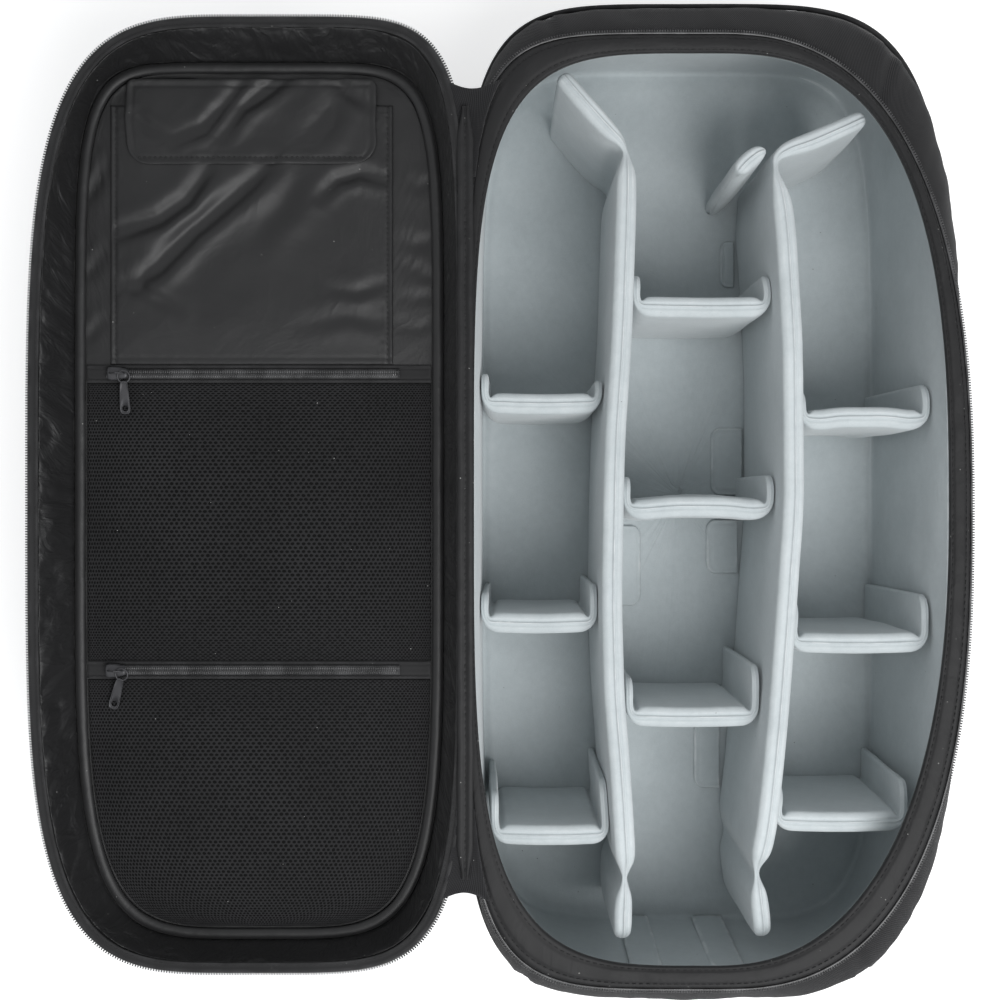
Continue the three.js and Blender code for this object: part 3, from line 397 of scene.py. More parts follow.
class Tree:
    """Builds a node tree with few words."""

    def __init__(self, tree: bpy.types.NodeTree) -> None:
        """Starts on an emptied tree."""
        self.tree = tree
        tree.nodes.clear()

    def node(self, kind: str, values: dict | None = None, **settings: object) -> bpy.types.Node:
        """Adds a node.

        Args:
            kind: Type name without the ShaderNode prefix.
            values: Input values or output sockets to link, by socket name or index.
            settings: Properties of the node.

        Returns:
            The node.
        """
        made = self.tree.nodes.new(kind if kind.startswith("NodeGroup") else "ShaderNode" + kind)
        for key, value in settings.items():
            setattr(made, key, value)
        for key, value in (values or {}).items():
            self.feed(made.inputs[key], value)
        return made

    def feed(self, socket: bpy.types.NodeSocket, value: object) -> None:
        """Sets a socket's value, or links another socket to it."""
        if isinstance(value, bpy.types.NodeSocket):
            self.tree.links.new(value, socket)
        else:
            socket.default_value = value

    def math(self, operation: str, *values: object) -> bpy.types.NodeSocket:
        """Adds a Math node and returns its result."""
        made = self.node("Math", operation=operation)
        for socket, value in zip(made.inputs, values):
            self.feed(socket, value)
        return made.outputs[0]

    def group(self, name: str, **values: object) -> bpy.types.Node:
        """Places a node group with its own values; spaces of socket names are written as underscores."""
        made = self.node("Group", node_tree=bpy.data.node_groups[name])
        for key, value in values.items():
            self.feed(made.inputs[key.replace("_", " ")], value)
        return made


def new_group(name: str, inputs: dict[str, tuple[str, object]], outputs: Sequence[str]) -> tuple[Tree, bpy.types.Node,
                                                                                               bpy.types.Node]:
    """Starts a shader node group.

    Args:
        name: Name of the group.
        inputs: Kind (Float, Vector or Color) and default value of each input.
        outputs: Names of the outputs, all of them numbers.

    Returns:
        The tree, and its input and output nodes.
    """
    made = bpy.data.node_groups.new(name, "ShaderNodeTree")
    for key, (kind, value) in inputs.items():
        socket = made.interface.new_socket(key, in_out="INPUT", socket_type="NodeSocket" + kind)
        if value is not None:
            socket.default_value = value
    for key in outputs:
        made.interface.new_socket(key, in_out="OUTPUT", socket_type="NodeSocketFloat")
    tree = Tree(made)
    source = tree.node("NodeGroupInput")
    target = tree.node("NodeGroupOutput")
    return tree, source, target


def build_weave_group() -> None:
    """Over-and-under threads on a flat map: plain at Twill 0, diagonal ribs at Twill 1."""
    tree, source, target = new_group(
        "weave", {"Vector": ("Vector", None), "Pitch": ("Float", 0.0007), "Twill": ("Float", 0.0)},
        ["Height", "Thread"])
    split = tree.node("SeparateXYZ", {0: source.outputs["Vector"]})
    turns = tree.math("DIVIDE", FULL_TURN, source.outputs["Pitch"])
    x = tree.math("MULTIPLY", split.outputs[0], turns)
    y = tree.math("MULTIPLY", split.outputs[1], turns)
    plain = tree.math("MULTIPLY", tree.math("SINE", x), tree.math("SINE", y))
    half_y = tree.math("MULTIPLY", y, 0.5)
    rib = tree.math("SINE", tree.math("ADD", x, half_y))
    cross = tree.math("MULTIPLY", tree.math("SINE", tree.math("MULTIPLY", y, 2.0)), 0.35)
    twill = tree.math("ADD", rib, cross)
    both = tree.node("Mix", {0: source.outputs["Twill"], 2: plain, 3: twill}, data_type="FLOAT")
    height = tree.math("MULTIPLY_ADD", both.outputs[0], 0.5, 0.5)
    fray = tree.node("TexNoise", {"Vector": source.outputs["Vector"], "Scale": 900.0, "Detail": 2.0})
    thread = tree.math("MULTIPLY", height, fray.outputs[0])
    tree.feed(target.inputs["Height"], height)
    tree.feed(target.inputs["Thread"], thread)


def build_fleece_group() -> None:
    """Brushed nap: fine fuzz, small clumps and broad worn patches."""
    tree, source, target = new_group(
        "fleece", {"Vector": ("Vector", None), "Fuzz": ("Float", 1500.0), "Patch": ("Float", 22.0)},
        ["Height", "Tone"])
    where = source.outputs["Vector"]
    fuzz = tree.node("TexNoise", {"Vector": where, "Scale": source.outputs["Fuzz"], "Detail": 3.0, "Roughness": 0.7})
    clump = tree.node("TexNoise", {"Vector": where, "Scale": 210.0, "Detail": 2.0, "Roughness": 0.6})
    patch = tree.node("TexNoise", {"Vector": where, "Scale": source.outputs["Patch"], "Detail": 2.0})
    height = tree.math("ADD", tree.math("MULTIPLY", fuzz.outputs[0], 0.6),
                       tree.math("MULTIPLY", clump.outputs[0], 0.4))
    tone = tree.math("ADD", tree.math("MULTIPLY", height, 0.55), tree.math("MULTIPLY", patch.outputs[0], 0.45))
    tree.feed(target.inputs["Height"], height)
    tree.feed(target.inputs["Tone"], tone)


def build_crumple_group() -> None:
    """Small creases of a thin cloth, stretched along one direction by the vector that comes in."""
    tree, source, target = new_group(
        "crumple", {"Vector": ("Vector", None), "Scale": ("Float", 60.0)}, ["Height"])
    first = tree.node("TexNoise", {"Vector": source.outputs["Vector"], "Scale": source.outputs["Scale"],
                                   "Detail": 3.0, "Roughness": 0.55, "Distortion": 0.6})
    fold = tree.math("ABSOLUTE", tree.math("SUBTRACT", first.outputs[0], 0.5))
    tree.feed(target.inputs["Height"], tree.math("SUBTRACT", 1.0, tree.math("MULTIPLY", fold, 3.0)))


def build_lint_group() -> None:
    """Sparse specks of lint and dust: 1 on a speck, 0 elsewhere."""
    tree, source, target = new_group(
        "lint", {"Vector": ("Vector", None), "Scale": ("Float", 400.0), "Amount": ("Float", 0.05)}, ["Speck"])
    cell = tree.node("TexVoronoi", {"Vector": source.outputs["Vector"], "Scale": source.outputs["Scale"],
                                    "Randomness": 1.0})
    split = tree.node("SeparateColor", {0: cell.outputs["Color"]})
    chosen = tree.math("LESS_THAN", split.outputs[0], source.outputs["Amount"])
    reach = tree.math("MULTIPLY_ADD", split.outputs[1], 0.12, 0.03)
    dot = tree.math("LESS_THAN", cell.outputs["Distance"], reach)
    tree.feed(target.inputs["Speck"], tree.math("MULTIPLY", chosen, dot))


def build_edge_highlight_group() -> None:
    """Painted highlight on convex edges: a mask that rises on convex edges, broken up by noise."""
    tree, source, target = new_group(
        "edge_highlight", {"Vector": ("Vector", None), "Amount": ("Float", 1.0)}, ["Mask"])
    shape = tree.node("NewGeometry")
    edge = tree.node("MapRange", {"Value": shape.outputs["Pointiness"], "From Min": 0.505, "From Max": 0.56})
    spots = tree.node("TexNoise", {"Vector": source.outputs["Vector"], "Scale": 90.0, "Detail": 3.0})
    broken = tree.node("MapRange", {"Value": spots.outputs[0], "From Min": 0.4, "From Max": 0.65})
    both = tree.math("MULTIPLY", edge.outputs[0], broken.outputs[0])
    tree.feed(target.inputs["Mask"], tree.math("MULTIPLY", both, source.outputs["Amount"]))


def build_net_group() -> None:
    """Knitted net with staggered oval holes: Hole is 1 in a hole, Height is high on the yarn."""
    tree, source, target = new_group(
        "net", {"Vector": ("Vector", None), "Width": ("Float", 0.0026), "Length": ("Float", 0.0019)},
        ["Hole", "Height"])
    split = tree.node("SeparateXYZ", {0: source.outputs["Vector"]})
    x = tree.math("DIVIDE", split.outputs[0], source.outputs["Width"])
    y = tree.math("DIVIDE", split.outputs[1], source.outputs["Length"])
    line = tree.math("FLOOR", y)
    shift = tree.math("MULTIPLY", tree.math("MODULO", line, 2.0), 0.5)
    across = tree.math("SUBTRACT", tree.math("FRACT", tree.math("ADD", x, shift)), 0.5)
    along = tree.math("SUBTRACT", tree.math("FRACT", y), 0.5)
    far_x = tree.math("POWER", tree.math("ABSOLUTE", tree.math("MULTIPLY", across, 2.55)), 2.0)
    far_y = tree.math("POWER", tree.math("ABSOLUTE", tree.math("MULTIPLY", along, 2.45)), 2.0)
    uneven = tree.node("TexNoise", {"Vector": source.outputs["Vector"], "Scale": 420.0, "Detail": 1.0})
    far = tree.math("ADD", tree.math("SQRT", tree.math("ADD", far_x, far_y)),
                    tree.math("MULTIPLY_ADD", uneven.outputs[0], 0.9, -0.45))
    hole = tree.node("MapRange", {"Value": far, "From Min": 1.0, "From Max": 0.72})
    height = tree.node("MapRange", {"Value": far, "From Min": 0.7, "From Max": 1.3})
    tree.feed(target.inputs["Hole"], hole.outputs[0])
    tree.feed(target.inputs["Height"], height.outputs[0])


class Map(Enum):
    """What a finish's pattern is laid on."""

    OBJECT = "Object"
    UV = "UV"


@dataclass(frozen=True)
class Cloth:
    """A woven, knitted or brushed cloth."""

    name: str
    slot: str
    dark: tuple[float, float, float]
    light: tuple[float, float, float]
    rough: float
    sheen: float
    specular: float = 0.25
    laid: Map = Map.UV
    pitch: float = 0.8
    twill: float = 0.0
    weave: float = 0.12
    crumple: float = 0.0
    crumple_scale: float = 60.0
    crumple_stretch: tuple[float, float, float] = (1.0, 1.0, 1.0)
    lint: float = 0.02
    lint_tone: tuple[float, float, float] = (0.3, 0.3, 0.29)
    # Strength of the painted highlight that pales convex edges.
    edge_highlight: float = 0.5
    net: bool = False
    fleece: float = 0.0

    def material(self) -> bpy.types.Material:
        """Builds the cloth's material.

        Returns:
            The material.
        """
        made = bpy.data.materials.new(self.name)
        made.use_nodes = True
        tree = Tree(made.node_tree)
        output = tree.node("OutputMaterial")
        shader = tree.node("BsdfPrincipled")
        tree.feed(output.inputs["Surface"], shader.outputs[0])
        shader.inputs["Specular IOR Level"].default_value = self.specular
        shader.inputs["Sheen Weight"].default_value = self.sheen
        shader.inputs["Sheen Roughness"].default_value = 0.45
        coords = tree.node("TexCoord")
        where = coords.outputs["Object"]
        flat = coords.outputs[self.laid.value]

        if self.fleece:
            cloth = tree.group("fleece", Vector=where)
            tone = cloth.outputs["Tone"]
        else:
            cloth = tree.group("weave", Vector=flat, Pitch=self.pitch * MM, Twill=self.twill)
            patches = tree.node("TexNoise", {"Vector": where, "Scale": 18.0, "Detail": 3.0})
            tone = tree.math("ADD", tree.math("MULTIPLY", cloth.outputs["Height"], 0.5),
                             tree.math("MULTIPLY", patches.outputs[0], 0.5))
        ramp = tree.node("MapRange", {"Value": tone, "From Min": 0.25, "From Max": 0.75})
        colour = tree.node("Mix", {0: ramp.outputs[0], 6: (*self.dark, 1), 7: (*self.light, 1)}, data_type="RGBA")
        top = colour.outputs[2]
        depth = self.fleece or self.weave
        height = tree.math("MULTIPLY", cloth.outputs["Height"], depth)
        if self.net:
            net = tree.group("net", Vector=flat)
            top = tree.node("Mix", {0: net.outputs["Hole"], 6: top, 7: (0.0012, 0.0012, 0.0013, 1)},
                            data_type="RGBA").outputs[2]
            height = tree.math("ADD", height, tree.math("MULTIPLY", net.outputs["Height"], 0.55))
        # Painted highlight: convex edges are mixed towards a paler tone.
        if self.edge_highlight:
            edge_lit = tree.group("edge_highlight", Vector=where, Amount=self.edge_highlight)
            pale = tuple(min(1.0, 1.9 * value) for value in self.light)
            top = tree.node("Mix", {0: edge_lit.outputs[0], 6: top, 7: (*pale, 1)}, data_type="RGBA").outputs[2]
        if self.lint:
            speck = tree.group("lint", Vector=where, Amount=self.lint)
            top = tree.node("Mix", {0: speck.outputs[0], 6: top, 7: (*self.lint_tone, 1)},
                            data_type="RGBA").outputs[2]
        tree.feed(shader.inputs["Base Color"], top)
        rough = tree.node("MapRange", {"Value": tone, "To Min": self.rough - 0.06, "To Max": self.rough + 0.06})
        tree.feed(shader.inputs["Roughness"], rough.outputs[0])
        bump = tree.node("Bump", {"Height": height, "Strength": 0.6, "Distance": 0.0005})
        normal = bump
        if self.crumple:
            turned = tree.node("Mapping", {"Vector": flat, "Scale": self.crumple_stretch})
            creases = tree.group("crumple", Vector=turned.outputs[0], Scale=self.crumple_scale)
            normal = tree.node("Bump", {"Height": creases.outputs[0], "Strength": 1.0,
                                        "Distance": self.crumple * MM, "Normal": bump.outputs[0]})
        tree.feed(shader.inputs["Normal"], normal.outputs[0])
        return made


@dataclass(frozen=True)
class Hard:
    """A hard finish: zip coil, plated metal or moulded plastic."""

    name: str
    slot: str
    dark: tuple[float, float, float]
    light: tuple[float, float, float]
    rough: float
    metal: float = 0.0
    specular: float = 0.5
    coat: float = 0.0
    scratch: float = 0.3
    # Strength of the painted highlight that pales convex edges.
    edge_highlight: float = 1.0

    def material(self) -> bpy.types.Material:
        """Builds the finish's material.

        Returns:
            The material.
        """
        made = bpy.data.materials.new(self.name)
        made.use_nodes = True
        tree = Tree(made.node_tree)
        output = tree.node("OutputMaterial")
        shader = tree.node("BsdfPrincipled")
        tree.feed(output.inputs["Surface"], shader.outputs[0])
        shader.inputs["Metallic"].default_value = self.metal
        shader.inputs["Specular IOR Level"].default_value = self.specular
        shader.inputs["Coat Weight"].default_value = self.coat
        where = tree.node("TexCoord").outputs["Object"]
        cloud = tree.node("TexNoise", {"Vector": where, "Scale": 240.0, "Detail": 4.0})
        colour = tree.node("Mix", {0: cloud.outputs[0], 6: (*self.dark, 1), 7: (*self.light, 1)}, data_type="RGBA")
        # Painted highlight: convex edges are mixed towards a paler tone.
        edge_lit = tree.group("edge_highlight", Vector=where, Amount=self.edge_highlight)
        pale = tuple(min(1.0, 2.2 * value) for value in self.light)
        top = tree.node("Mix", {0: edge_lit.outputs[0], 6: colour.outputs[2], 7: (*pale, 1)}, data_type="RGBA")
        tree.feed(shader.inputs["Base Color"], top.outputs[2])
        streaks = tree.node("Mapping", {"Vector": where, "Scale": (1.0, 0.12, 1.0)})
        fine = tree.node("TexNoise", {"Vector": streaks.outputs[0], "Scale": 2600.0, "Detail": 2.0})
        rough = tree.node("MapRange", {"Value": fine.outputs[0], "To Min": self.rough - 0.1,
                                       "To Max": self.rough + 0.12})
        tree.feed(shader.inputs["Roughness"], rough.outputs[0])
        bump = tree.node("Bump", {"Height": fine.outputs[0], "Strength": self.scratch, "Distance": 0.00005})
        tree.feed(shader.inputs["Normal"], bump.outputs[0])
        return made


class Finish(Enum):
    """The finishes of the backpack."""

    CORDURA = Cloth("black_cordura", "cordura", (0.006, 0.006, 0.0065), (0.026, 0.026, 0.028), 0.85, 0.12,
                    pitch=1.3, twill=1.0, weave=0.5, lint=0.035, edge_highlight=0.5)
    NYLON = Cloth("black_nylon", "nylon", (0.011, 0.011, 0.0115), (0.02, 0.02, 0.0208), 0.43, 0.05,
                  specular=0.42, pitch=0.55, weave=0.12, crumple=0.35, crumple_scale=30.0, lint=0.02, edge_highlight=0.2)
    GUSSET = Cloth("black_gusset_nylon", "nylon", (0.0085, 0.0085, 0.009), (0.016, 0.016, 0.0167), 0.42, 0.05,
                   specular=0.48, pitch=0.55, weave=0.12, crumple=1.1, crumple_scale=48.0,
                   crumple_stretch=(1.4, 0.7, 1.0), lint=0.02, edge_highlight=0.2)
    RIM = Cloth("black_rim_nylon", "nylon", (0.007, 0.007, 0.0075), (0.015, 0.015, 0.016), 0.55, 0.08,
                specular=0.32, pitch=0.6, weave=0.16, crumple=0.35, crumple_scale=40.0,
                crumple_stretch=(1.2, 0.8, 1.0), lint=0.1, edge_highlight=0.4)
    MESH = Cloth("black_pocket_mesh", "mesh", (0.012, 0.012, 0.0126), (0.027, 0.027, 0.0285), 0.7, 0.05,
                 specular=0.12, pitch=0.5, weave=0.1, net=True, lint=0.02, edge_highlight=0.0)
    BINDING = Cloth("black_binding", "binding", (0.011, 0.011, 0.0115), (0.026, 0.026, 0.027), 0.7, 0.1,
                    pitch=1.1, twill=0.4, weave=0.4, lint=0.03, edge_highlight=0.6)
    TRICOT = Cloth("grey_tricot", "tricot", (0.44, 0.485, 0.5), (0.6, 0.645, 0.66), 0.95, 0.35, specular=0.15,
                   fleece=0.8, crumple=0.5, crumple_scale=16.0, lint=0.012, lint_tone=(0.16, 0.17, 0.17), edge_highlight=0.35)
    HARNESS = Cloth("black_spacer_mesh", "harness", (0.008, 0.008, 0.0085), (0.024, 0.024, 0.025), 0.9, 0.15,
                    laid=Map.OBJECT, pitch=2.2, weave=0.9, lint=0.03, edge_highlight=0.4)
    COIL = Hard("black_coil", "coil", (0.01, 0.01, 0.011), (0.03, 0.03, 0.031), 0.3, specular=0.8)
    GUNMETAL = Hard("gunmetal", "gunmetal", (0.03, 0.031, 0.034), (0.085, 0.087, 0.094), 0.22, metal=1.0, coat=0.3)


def dress(piece: bpy.types.Object, finish: Finish, *nodes: str, body: str = "bag") -> bpy.types.Object:
    """Gives a piece its finish, the body that it rides on and the CAD nodes that it stands for.

    Args:
        piece: The piece.
        finish: Its finish.
        nodes: CAD nodes that it replaces.
        body: CAD body that it rides on.

    Returns:
        The piece.
    """
    material = bpy.data.materials.get(finish.value.name) or finish.value.material()
    piece.data.materials.clear()
    piece.data.materials.append(material)
    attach(piece, body)
    if nodes:
        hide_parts(*nodes)
    LOG.info("%s: %d faces, %s", piece.name, len(piece.data.polygons), finish.value.name)
    return piece


# Heights and outlines that the pieces share


@dataclass(frozen=True)
class Levels:
    """Heights above the floor, in millimetres."""

    floor: float = 34.4
    shell_base: float = 22.6
    lining_base: float = 25.4
    shoulder: float = 132.4
    shell_top: float = 169.6
    rim: float = 174.4
    tray: float = 146.4
    panel_top: float = 148.2
    pocket_base: float = 148.5
    tape_top: float = 150.1


LEVELS = Levels()
BODY = Outline(-20.25, 267.25, -294.5, 294.5, (4.4, 5.5, 5.5, 3.9))
MOUTH = Outline(-19.1, 268.75, -279, 266, (2.5, 6, 5.2, 2.6))
RIM_INNER = Outline(-14.85, 257.35, -267, 256, (2.8, 4.3, 3.8, 2.4))
FLOOR = Outline(-11.75, 249.75, -281, 287, (6, 6, 6, 6))
LINING_MID = Outline(-11.75, 255.75, -285, 287, (5, 6, 6, 4.5))
LID = Outline(-268.75, -19.4, -269, 275, (6.2, 3.8, 4, 5))
TRAY = replace(LID.inset(19, 14.2, 11, 18), corners=(7, 7, 4.5, 4.8))
PANEL = TRAY.inset(5.6)
POCKET = PANEL.inset(1.2)
HINGE_BOTTOM = -216.0
HINGE_TOP = 224.0
SHOULDER_MID = MOUTH.blended(BODY, 0.66)
SHOULDER_MID_Z = LEVELS.rim - 42 * 0.45


def away_from_hinge(point: Vector, middle: float, hinge_side: int, margin: float = 0.0) -> bool:
    """Whether a point of an outline isn't on the stretch that the hinge takes.

    Args:
        point: The point in plan.
        middle: X of the outline's middle.
        hinge_side: Side of the outline that the hinge is on.
        margin: How far the row goes past the hinge's ends.

    Returns:
        Whether teeth or tape belong there.
    """
    if (point.x - middle) * hinge_side < 0:
        return True
    return point.y > HINGE_TOP - margin or point.y < HINGE_BOTTOM + margin


# The pieces


@dataclass
class Body:
    """The body's outer shell, piping, mouth band, zip teeth and lining."""

    columns: int = 420
    cloth: float = 2.5
    base_round: float = 10.0
    seams: tuple[tuple[float, float], ...] = ((27.0, 285.0), (232.0, 272.0), (10.0, -287.0), (215.0, -285.0))
    seam_width: float = 1.1
    tooth_pitch: float = 1.5
    piping_radius: float = 1.6

    def build(self) -> None:
        """Builds and dresses the body's pieces."""
        self.build_shell()
        self.build_piping()
        self.build_rim()
        self.build_teeth()
        self.build_lining()

    def build_shell(self) -> None:
        """The outer shell with its crowned shoulder and the seams across it."""
        angles, length = BODY.walk(self.columns)
        seam_angles = [math.atan2((y - BODY.cy), (x - BODY.cx)) for x, y in self.seams]
        outer = between_sections([
            Section(BODY.inset(self.base_round), LEVELS.shell_base),
            Section(BODY.inset(self.base_round * 0.3), LEVELS.shell_base + self.base_round * 0.3),
            Section(BODY, LEVELS.shell_base + self.base_round),
        ], 2)
        outer += between_sections([Section(BODY, LEVELS.shell_base + self.base_round),
                                   Section(BODY, LEVELS.shoulder)], 10)[1:]
        shoulder = between_sections([Section(BODY, LEVELS.shoulder), Section(SHOULDER_MID, SHOULDER_MID_Z),
                                     Section(MOUTH, LEVELS.shell_top)], 8)[1:]
        first_shoulder = len(outer)
        outer += shoulder
        last_outer = len(outer) - 1
        inner = [
            Section(MOUTH.inset(self.cloth), LEVELS.shell_top),
            Section(SHOULDER_MID.inset(self.cloth), SHOULDER_MID_Z),
            Section(BODY.inset(self.cloth), LEVELS.shoulder),
            Section(BODY.inset(self.cloth), LEVELS.shell_base + self.cloth + self.base_round),
            Section(BODY.inset(self.cloth + self.base_round), LEVELS.shell_base + self.cloth),
        ]
        sections = outer + inner
        normals = [BODY.normal(angle) for angle in angles]

        def relief(i: int, j: int, point: Vector) -> Vector:
            """Crowns the walls and sinks the seams."""
            if j > last_outer:
                return point
            out = 0.0
            s = i / self.columns * length
            if j >= first_shoulder:
                share = (j - first_shoulder) / (last_outer - first_shoulder)
                crown = math.sin(math.pi * share)
                out += 1.6 * crown + 1.1 * crown * grain(s / 34, share * 1.4, 3.1)
                out += 0.5 * crown * grain(s / 9, share * 2.0, 7.7)
                for seam in seam_angles:
                    turn = math.atan2(math.sin(angles[i] - seam), math.cos(angles[i] - seam))
                    far = turn * 250
                    out -= 1.3 * bell(far, self.seam_width * 2.2) * smooth(share * 4)
                    out += 0.6 * bell(abs(far) - 5, 2.4) * crown
            else:
                z_share = (point.z - LEVELS.shell_base) / (LEVELS.shoulder - LEVELS.shell_base)
                wall = smooth(z_share * 3) * smooth((1 - z_share) * 3)
                out += wall * (2.0 * grain(s / 60, z_share * 2.2, 1.3) + 0.8 * grain(s / 17, z_share * 5, 5.0))
                out += 1.5 * wall
            across = normals[i] * out
            return point + Vector((across.x, across.y, 0.35 * out if j >= first_shoulder else 0.0))

        bm = bmesh.new()
        add_skin(bm, sections, angles, length, relief)
        dress(finish_mesh(bm, "shell_cloth", True), Finish.CORDURA, "body_shell")

    def build_piping(self) -> None:
        """The round piping at the foot of the shoulder with its stitched flange."""
        angles, length = BODY.walk(self.columns)
        normals = [BODY.normal(angle) for angle in angles]
        sides = 10

        def place(i: int, j: int) -> Vector:
            """Point of the cord's round section."""
            turn = j / sides * FULL_TURN
            lump = 1 + 0.06 * grain(i / 7, j * 0.3)
            radius = self.piping_radius * lump
            flat = BODY.point(angles[i]) + normals[i] * (1.7 + radius * math.cos(turn))
            wave = 0.8 * grain(i / 30, 0.0, 2.0)
            return Vector((flat.x, flat.y, LEVELS.shoulder + wave + radius * math.sin(turn)))

        bm = bmesh.new()
        add_grid(bm, self.columns, sides, place, (length / self.columns * MM, 1.0 * MM), True, True)
        dress(finish_mesh(bm, "shell_piping", True), Finish.BINDING, "body_piping")

    def build_rim(self) -> None:
        """The smooth nylon band round the mouth, with soft folds and two rows of stitches."""
        angles, length = MOUTH.walk(self.columns)
        base = LEVELS.shell_top + 0.3
        top = LEVELS.rim
        rows: list[Section] = []
        rows += between_sections([Section(MOUTH, base), Section(MOUTH.inset(0.1), top - 2.2)], 2)[:-1]
        crown = 14
        for k in range(crown + 1):
            share = k / crown
            outline = MOUTH.blended(RIM_INNER, share)
            rows.append(Section(outline, top - 2.2 + 2.2 * math.sin(math.pi * share) ** 0.5))
        rows += between_sections([Section(RIM_INNER, top - 2.6), Section(RIM_INNER, base)], 2)
        first = 2
        last = first + crown

        def relief(i: int, j: int, point: Vector) -> Vector:
            """Soft folds between two sewn lines."""
            if not first < j < last:
                return point
            share = (j - first) / crown
            s = i / self.columns * length
            soft = math.sin(math.pi * share)
            rise = 0.55 * soft * grain(s / 15, share * 1.2, 4.4) + 0.35 * soft * ridged(s / 26, share * 0.8, 9.0)
            for seam in (0.2, 0.86):
                rise -= 0.7 * bell(share - seam, 0.05)
            return point + Vector((0, 0, rise - 0.15))

        bm = bmesh.new()
        add_skin(bm, rows, angles, length, relief, joined=True, pitch=1.2)
        for seam in (0.2, 0.86):
            line = MOUTH.blended(RIM_INNER, seam)
            points = []
            for angle in angles:
                flat = line.point(angle)
                points.append(Vector((flat.x, flat.y, top - 2.2 + 2.2 * math.sin(math.pi * seam) ** 0.5 - 0.55)))
            points.append(points[0])
            add_stitches(bm, points, [Vector((0, 0, 1))] * len(points))
        dress(finish_mesh(bm, "mouth_band", True), Finish.RIM, "rim_band")

    def build_teeth(self) -> None:
        """Row of coil teeth round the mouth."""
        build_tooth_row("mouth_coil", MOUTH, -1, self.tooth_pitch, "body_zip_teeth")

    def build_lining(self) -> None:
        """The padded lining: a thick tub with soft walls and a floor."""
        angles, length = FLOOR.walk(self.columns)
        gap = self.cloth + 0.3
        outer = [
            Section(BODY.inset(gap + self.base_round), LEVELS.lining_base),
            Section(BODY.inset(gap), LEVELS.lining_base + self.base_round),
            Section(BODY.inset(gap), LEVELS.shoulder),
            Section(SHOULDER_MID.inset(gap), SHOULDER_MID_Z),
            Section(MOUTH.inset(gap), LEVELS.shell_top),
        ]
        upper = between_sections([Section(RIM_INNER, LEVELS.shell_top),
                                  Section(RIM_INNER.blended(LINING_MID, 0.66), SHOULDER_MID_Z),
                                  Section(LINING_MID, LEVELS.shoulder)], 6)
        lower = between_sections([Section(LINING_MID, LEVELS.shoulder), Section(FLOOR, LEVELS.floor)], 16)[1:]
        floor = [Section(FLOOR.shrunk(share), LEVELS.floor)
                 for share in (0.99, 0.975, 0.95, 0.9, 0.84, 0.77, 0.69, 0.6, 0.5, 0.4, 0.3, 0.2, 0.1, 0.03)]
        sections = outer + upper + lower + floor
        wall_first = len(outer)
        floor_first = wall_first + len(upper) + len(lower)
        normals = [FLOOR.normal(angle) for angle in angles]

        def relief(i: int, j: int, point: Vector) -> Vector:
            """Soft dents of the padding, and a seam where wall and floor meet."""
            if j < wall_first:
                return point
            s = i / self.columns * length
            if j < floor_first:
                low = (point.z - LEVELS.floor) / (LEVELS.shell_top - LEVELS.floor)
                soft = smooth(low * 4) * smooth((1 - low) * 5)
                dent = soft * (0.9 + 1.4 * grain(s / 42, low * 2.4, 0.7) + 0.5 * grain(s / 13, low * 4, 6.1))
                dent = max(dent, -1.0)
                across = normals[i] * dent
                sag = -1.5 if j == floor_first - 1 else 0.0
                return point - Vector((across.x, across.y, -sag)) * (1.0 if point.x > -5 else 0.25)
            k = j - floor_first
            sink = 0.5 * grain(point.x / 55, point.y / 55, 2.2) + 0.15 * grain(point.x / 14, point.y / 14, 8.0)
            return point + Vector((0, 0, min(0.25, sink) - (2.0 if k == 0 else 0.1)))

        bm = bmesh.new()
        add_skin(bm, sections, angles, length, relief)
        piece = dress(finish_mesh(bm, "lining_pad", True), Finish.TRICOT, "lining")


def build_tooth_row(name: str, outline: Outline, hinge_side: int, pitch: float, node: str) -> None:
    """Builds one half of the main zip: a tape's edge and a row of coil teeth all round but the hinge.

    Args:
        name: Name of the piece.
        outline: The edge that the teeth are sewn to.
        hinge_side: Side of the outline that the hinge is on.
        pitch: Space from tooth to tooth.
        node: CAD node that the row stands for.
    """
    edge = outline.inset(-0.4)
    count = round(edge.walk(4)[1] / pitch)
    angles, _ = edge.walk(count)
    base = LEVELS.rim - 4.2
    bm = bmesh.new()
    up = Vector((0, 0, 1))
    for angle in angles:
        flat = edge.point(angle)
        if not away_from_hinge(flat, outline.cx, hinge_side):
            continue
        out = edge.normal(angle)
        out3 = Vector((out.x, out.y, 0))
        at = Vector((flat.x + out.x * 1.15, flat.y + out.y * 1.15, base + 1.7))
        add_bead(bm, at, out3 + up * 0.12, up, Vector((1.35, 0.5, 1.0)))
        add_bead(bm, at + out3 * 0.9 + up * -0.1, up, out3, Vector((1.15, 0.5, 0.55)))
    fine, length = edge.walk(420)
    taped = [k for k, angle in enumerate(fine) if away_from_hinge(edge.point(angle), outline.cx, hinge_side)]
    start = next(k for k in taped if (k - 1) % 420 not in taped)
    run = [fine[(start + k) % 420] for k in range(len(taped))]
    ring = [(0.0, 0.4), (0.9, 0.4), (1.1, 0.8), (1.1, 2.3), (0.9, 2.7), (0.0, 2.7)]

    def place(i: int, j: int) -> Vector:
        """Point of the tape's section."""
        out, rise = ring[j]
        flat = edge.point(run[i]) + edge.normal(run[i]) * out
        return Vector((flat.x, flat.y, base + rise))

    add_grid(bm, len(run) - 1, len(ring), place, (length / 420 * MM, 0.8 * MM), False, True, True)
    dress(finish_mesh(bm, name, True), Finish.COIL, node)


@dataclass(frozen=True)
class WallStop:
    """One station of a padded wall: its foot and head in plan, its thickness and its height."""

    foot: Vector
    head: Vector
    thick: float
    height: float

    def row(self) -> list[float]:
        """The station as a row of numbers."""
        return [*self.foot, *self.head, self.thick, self.height]


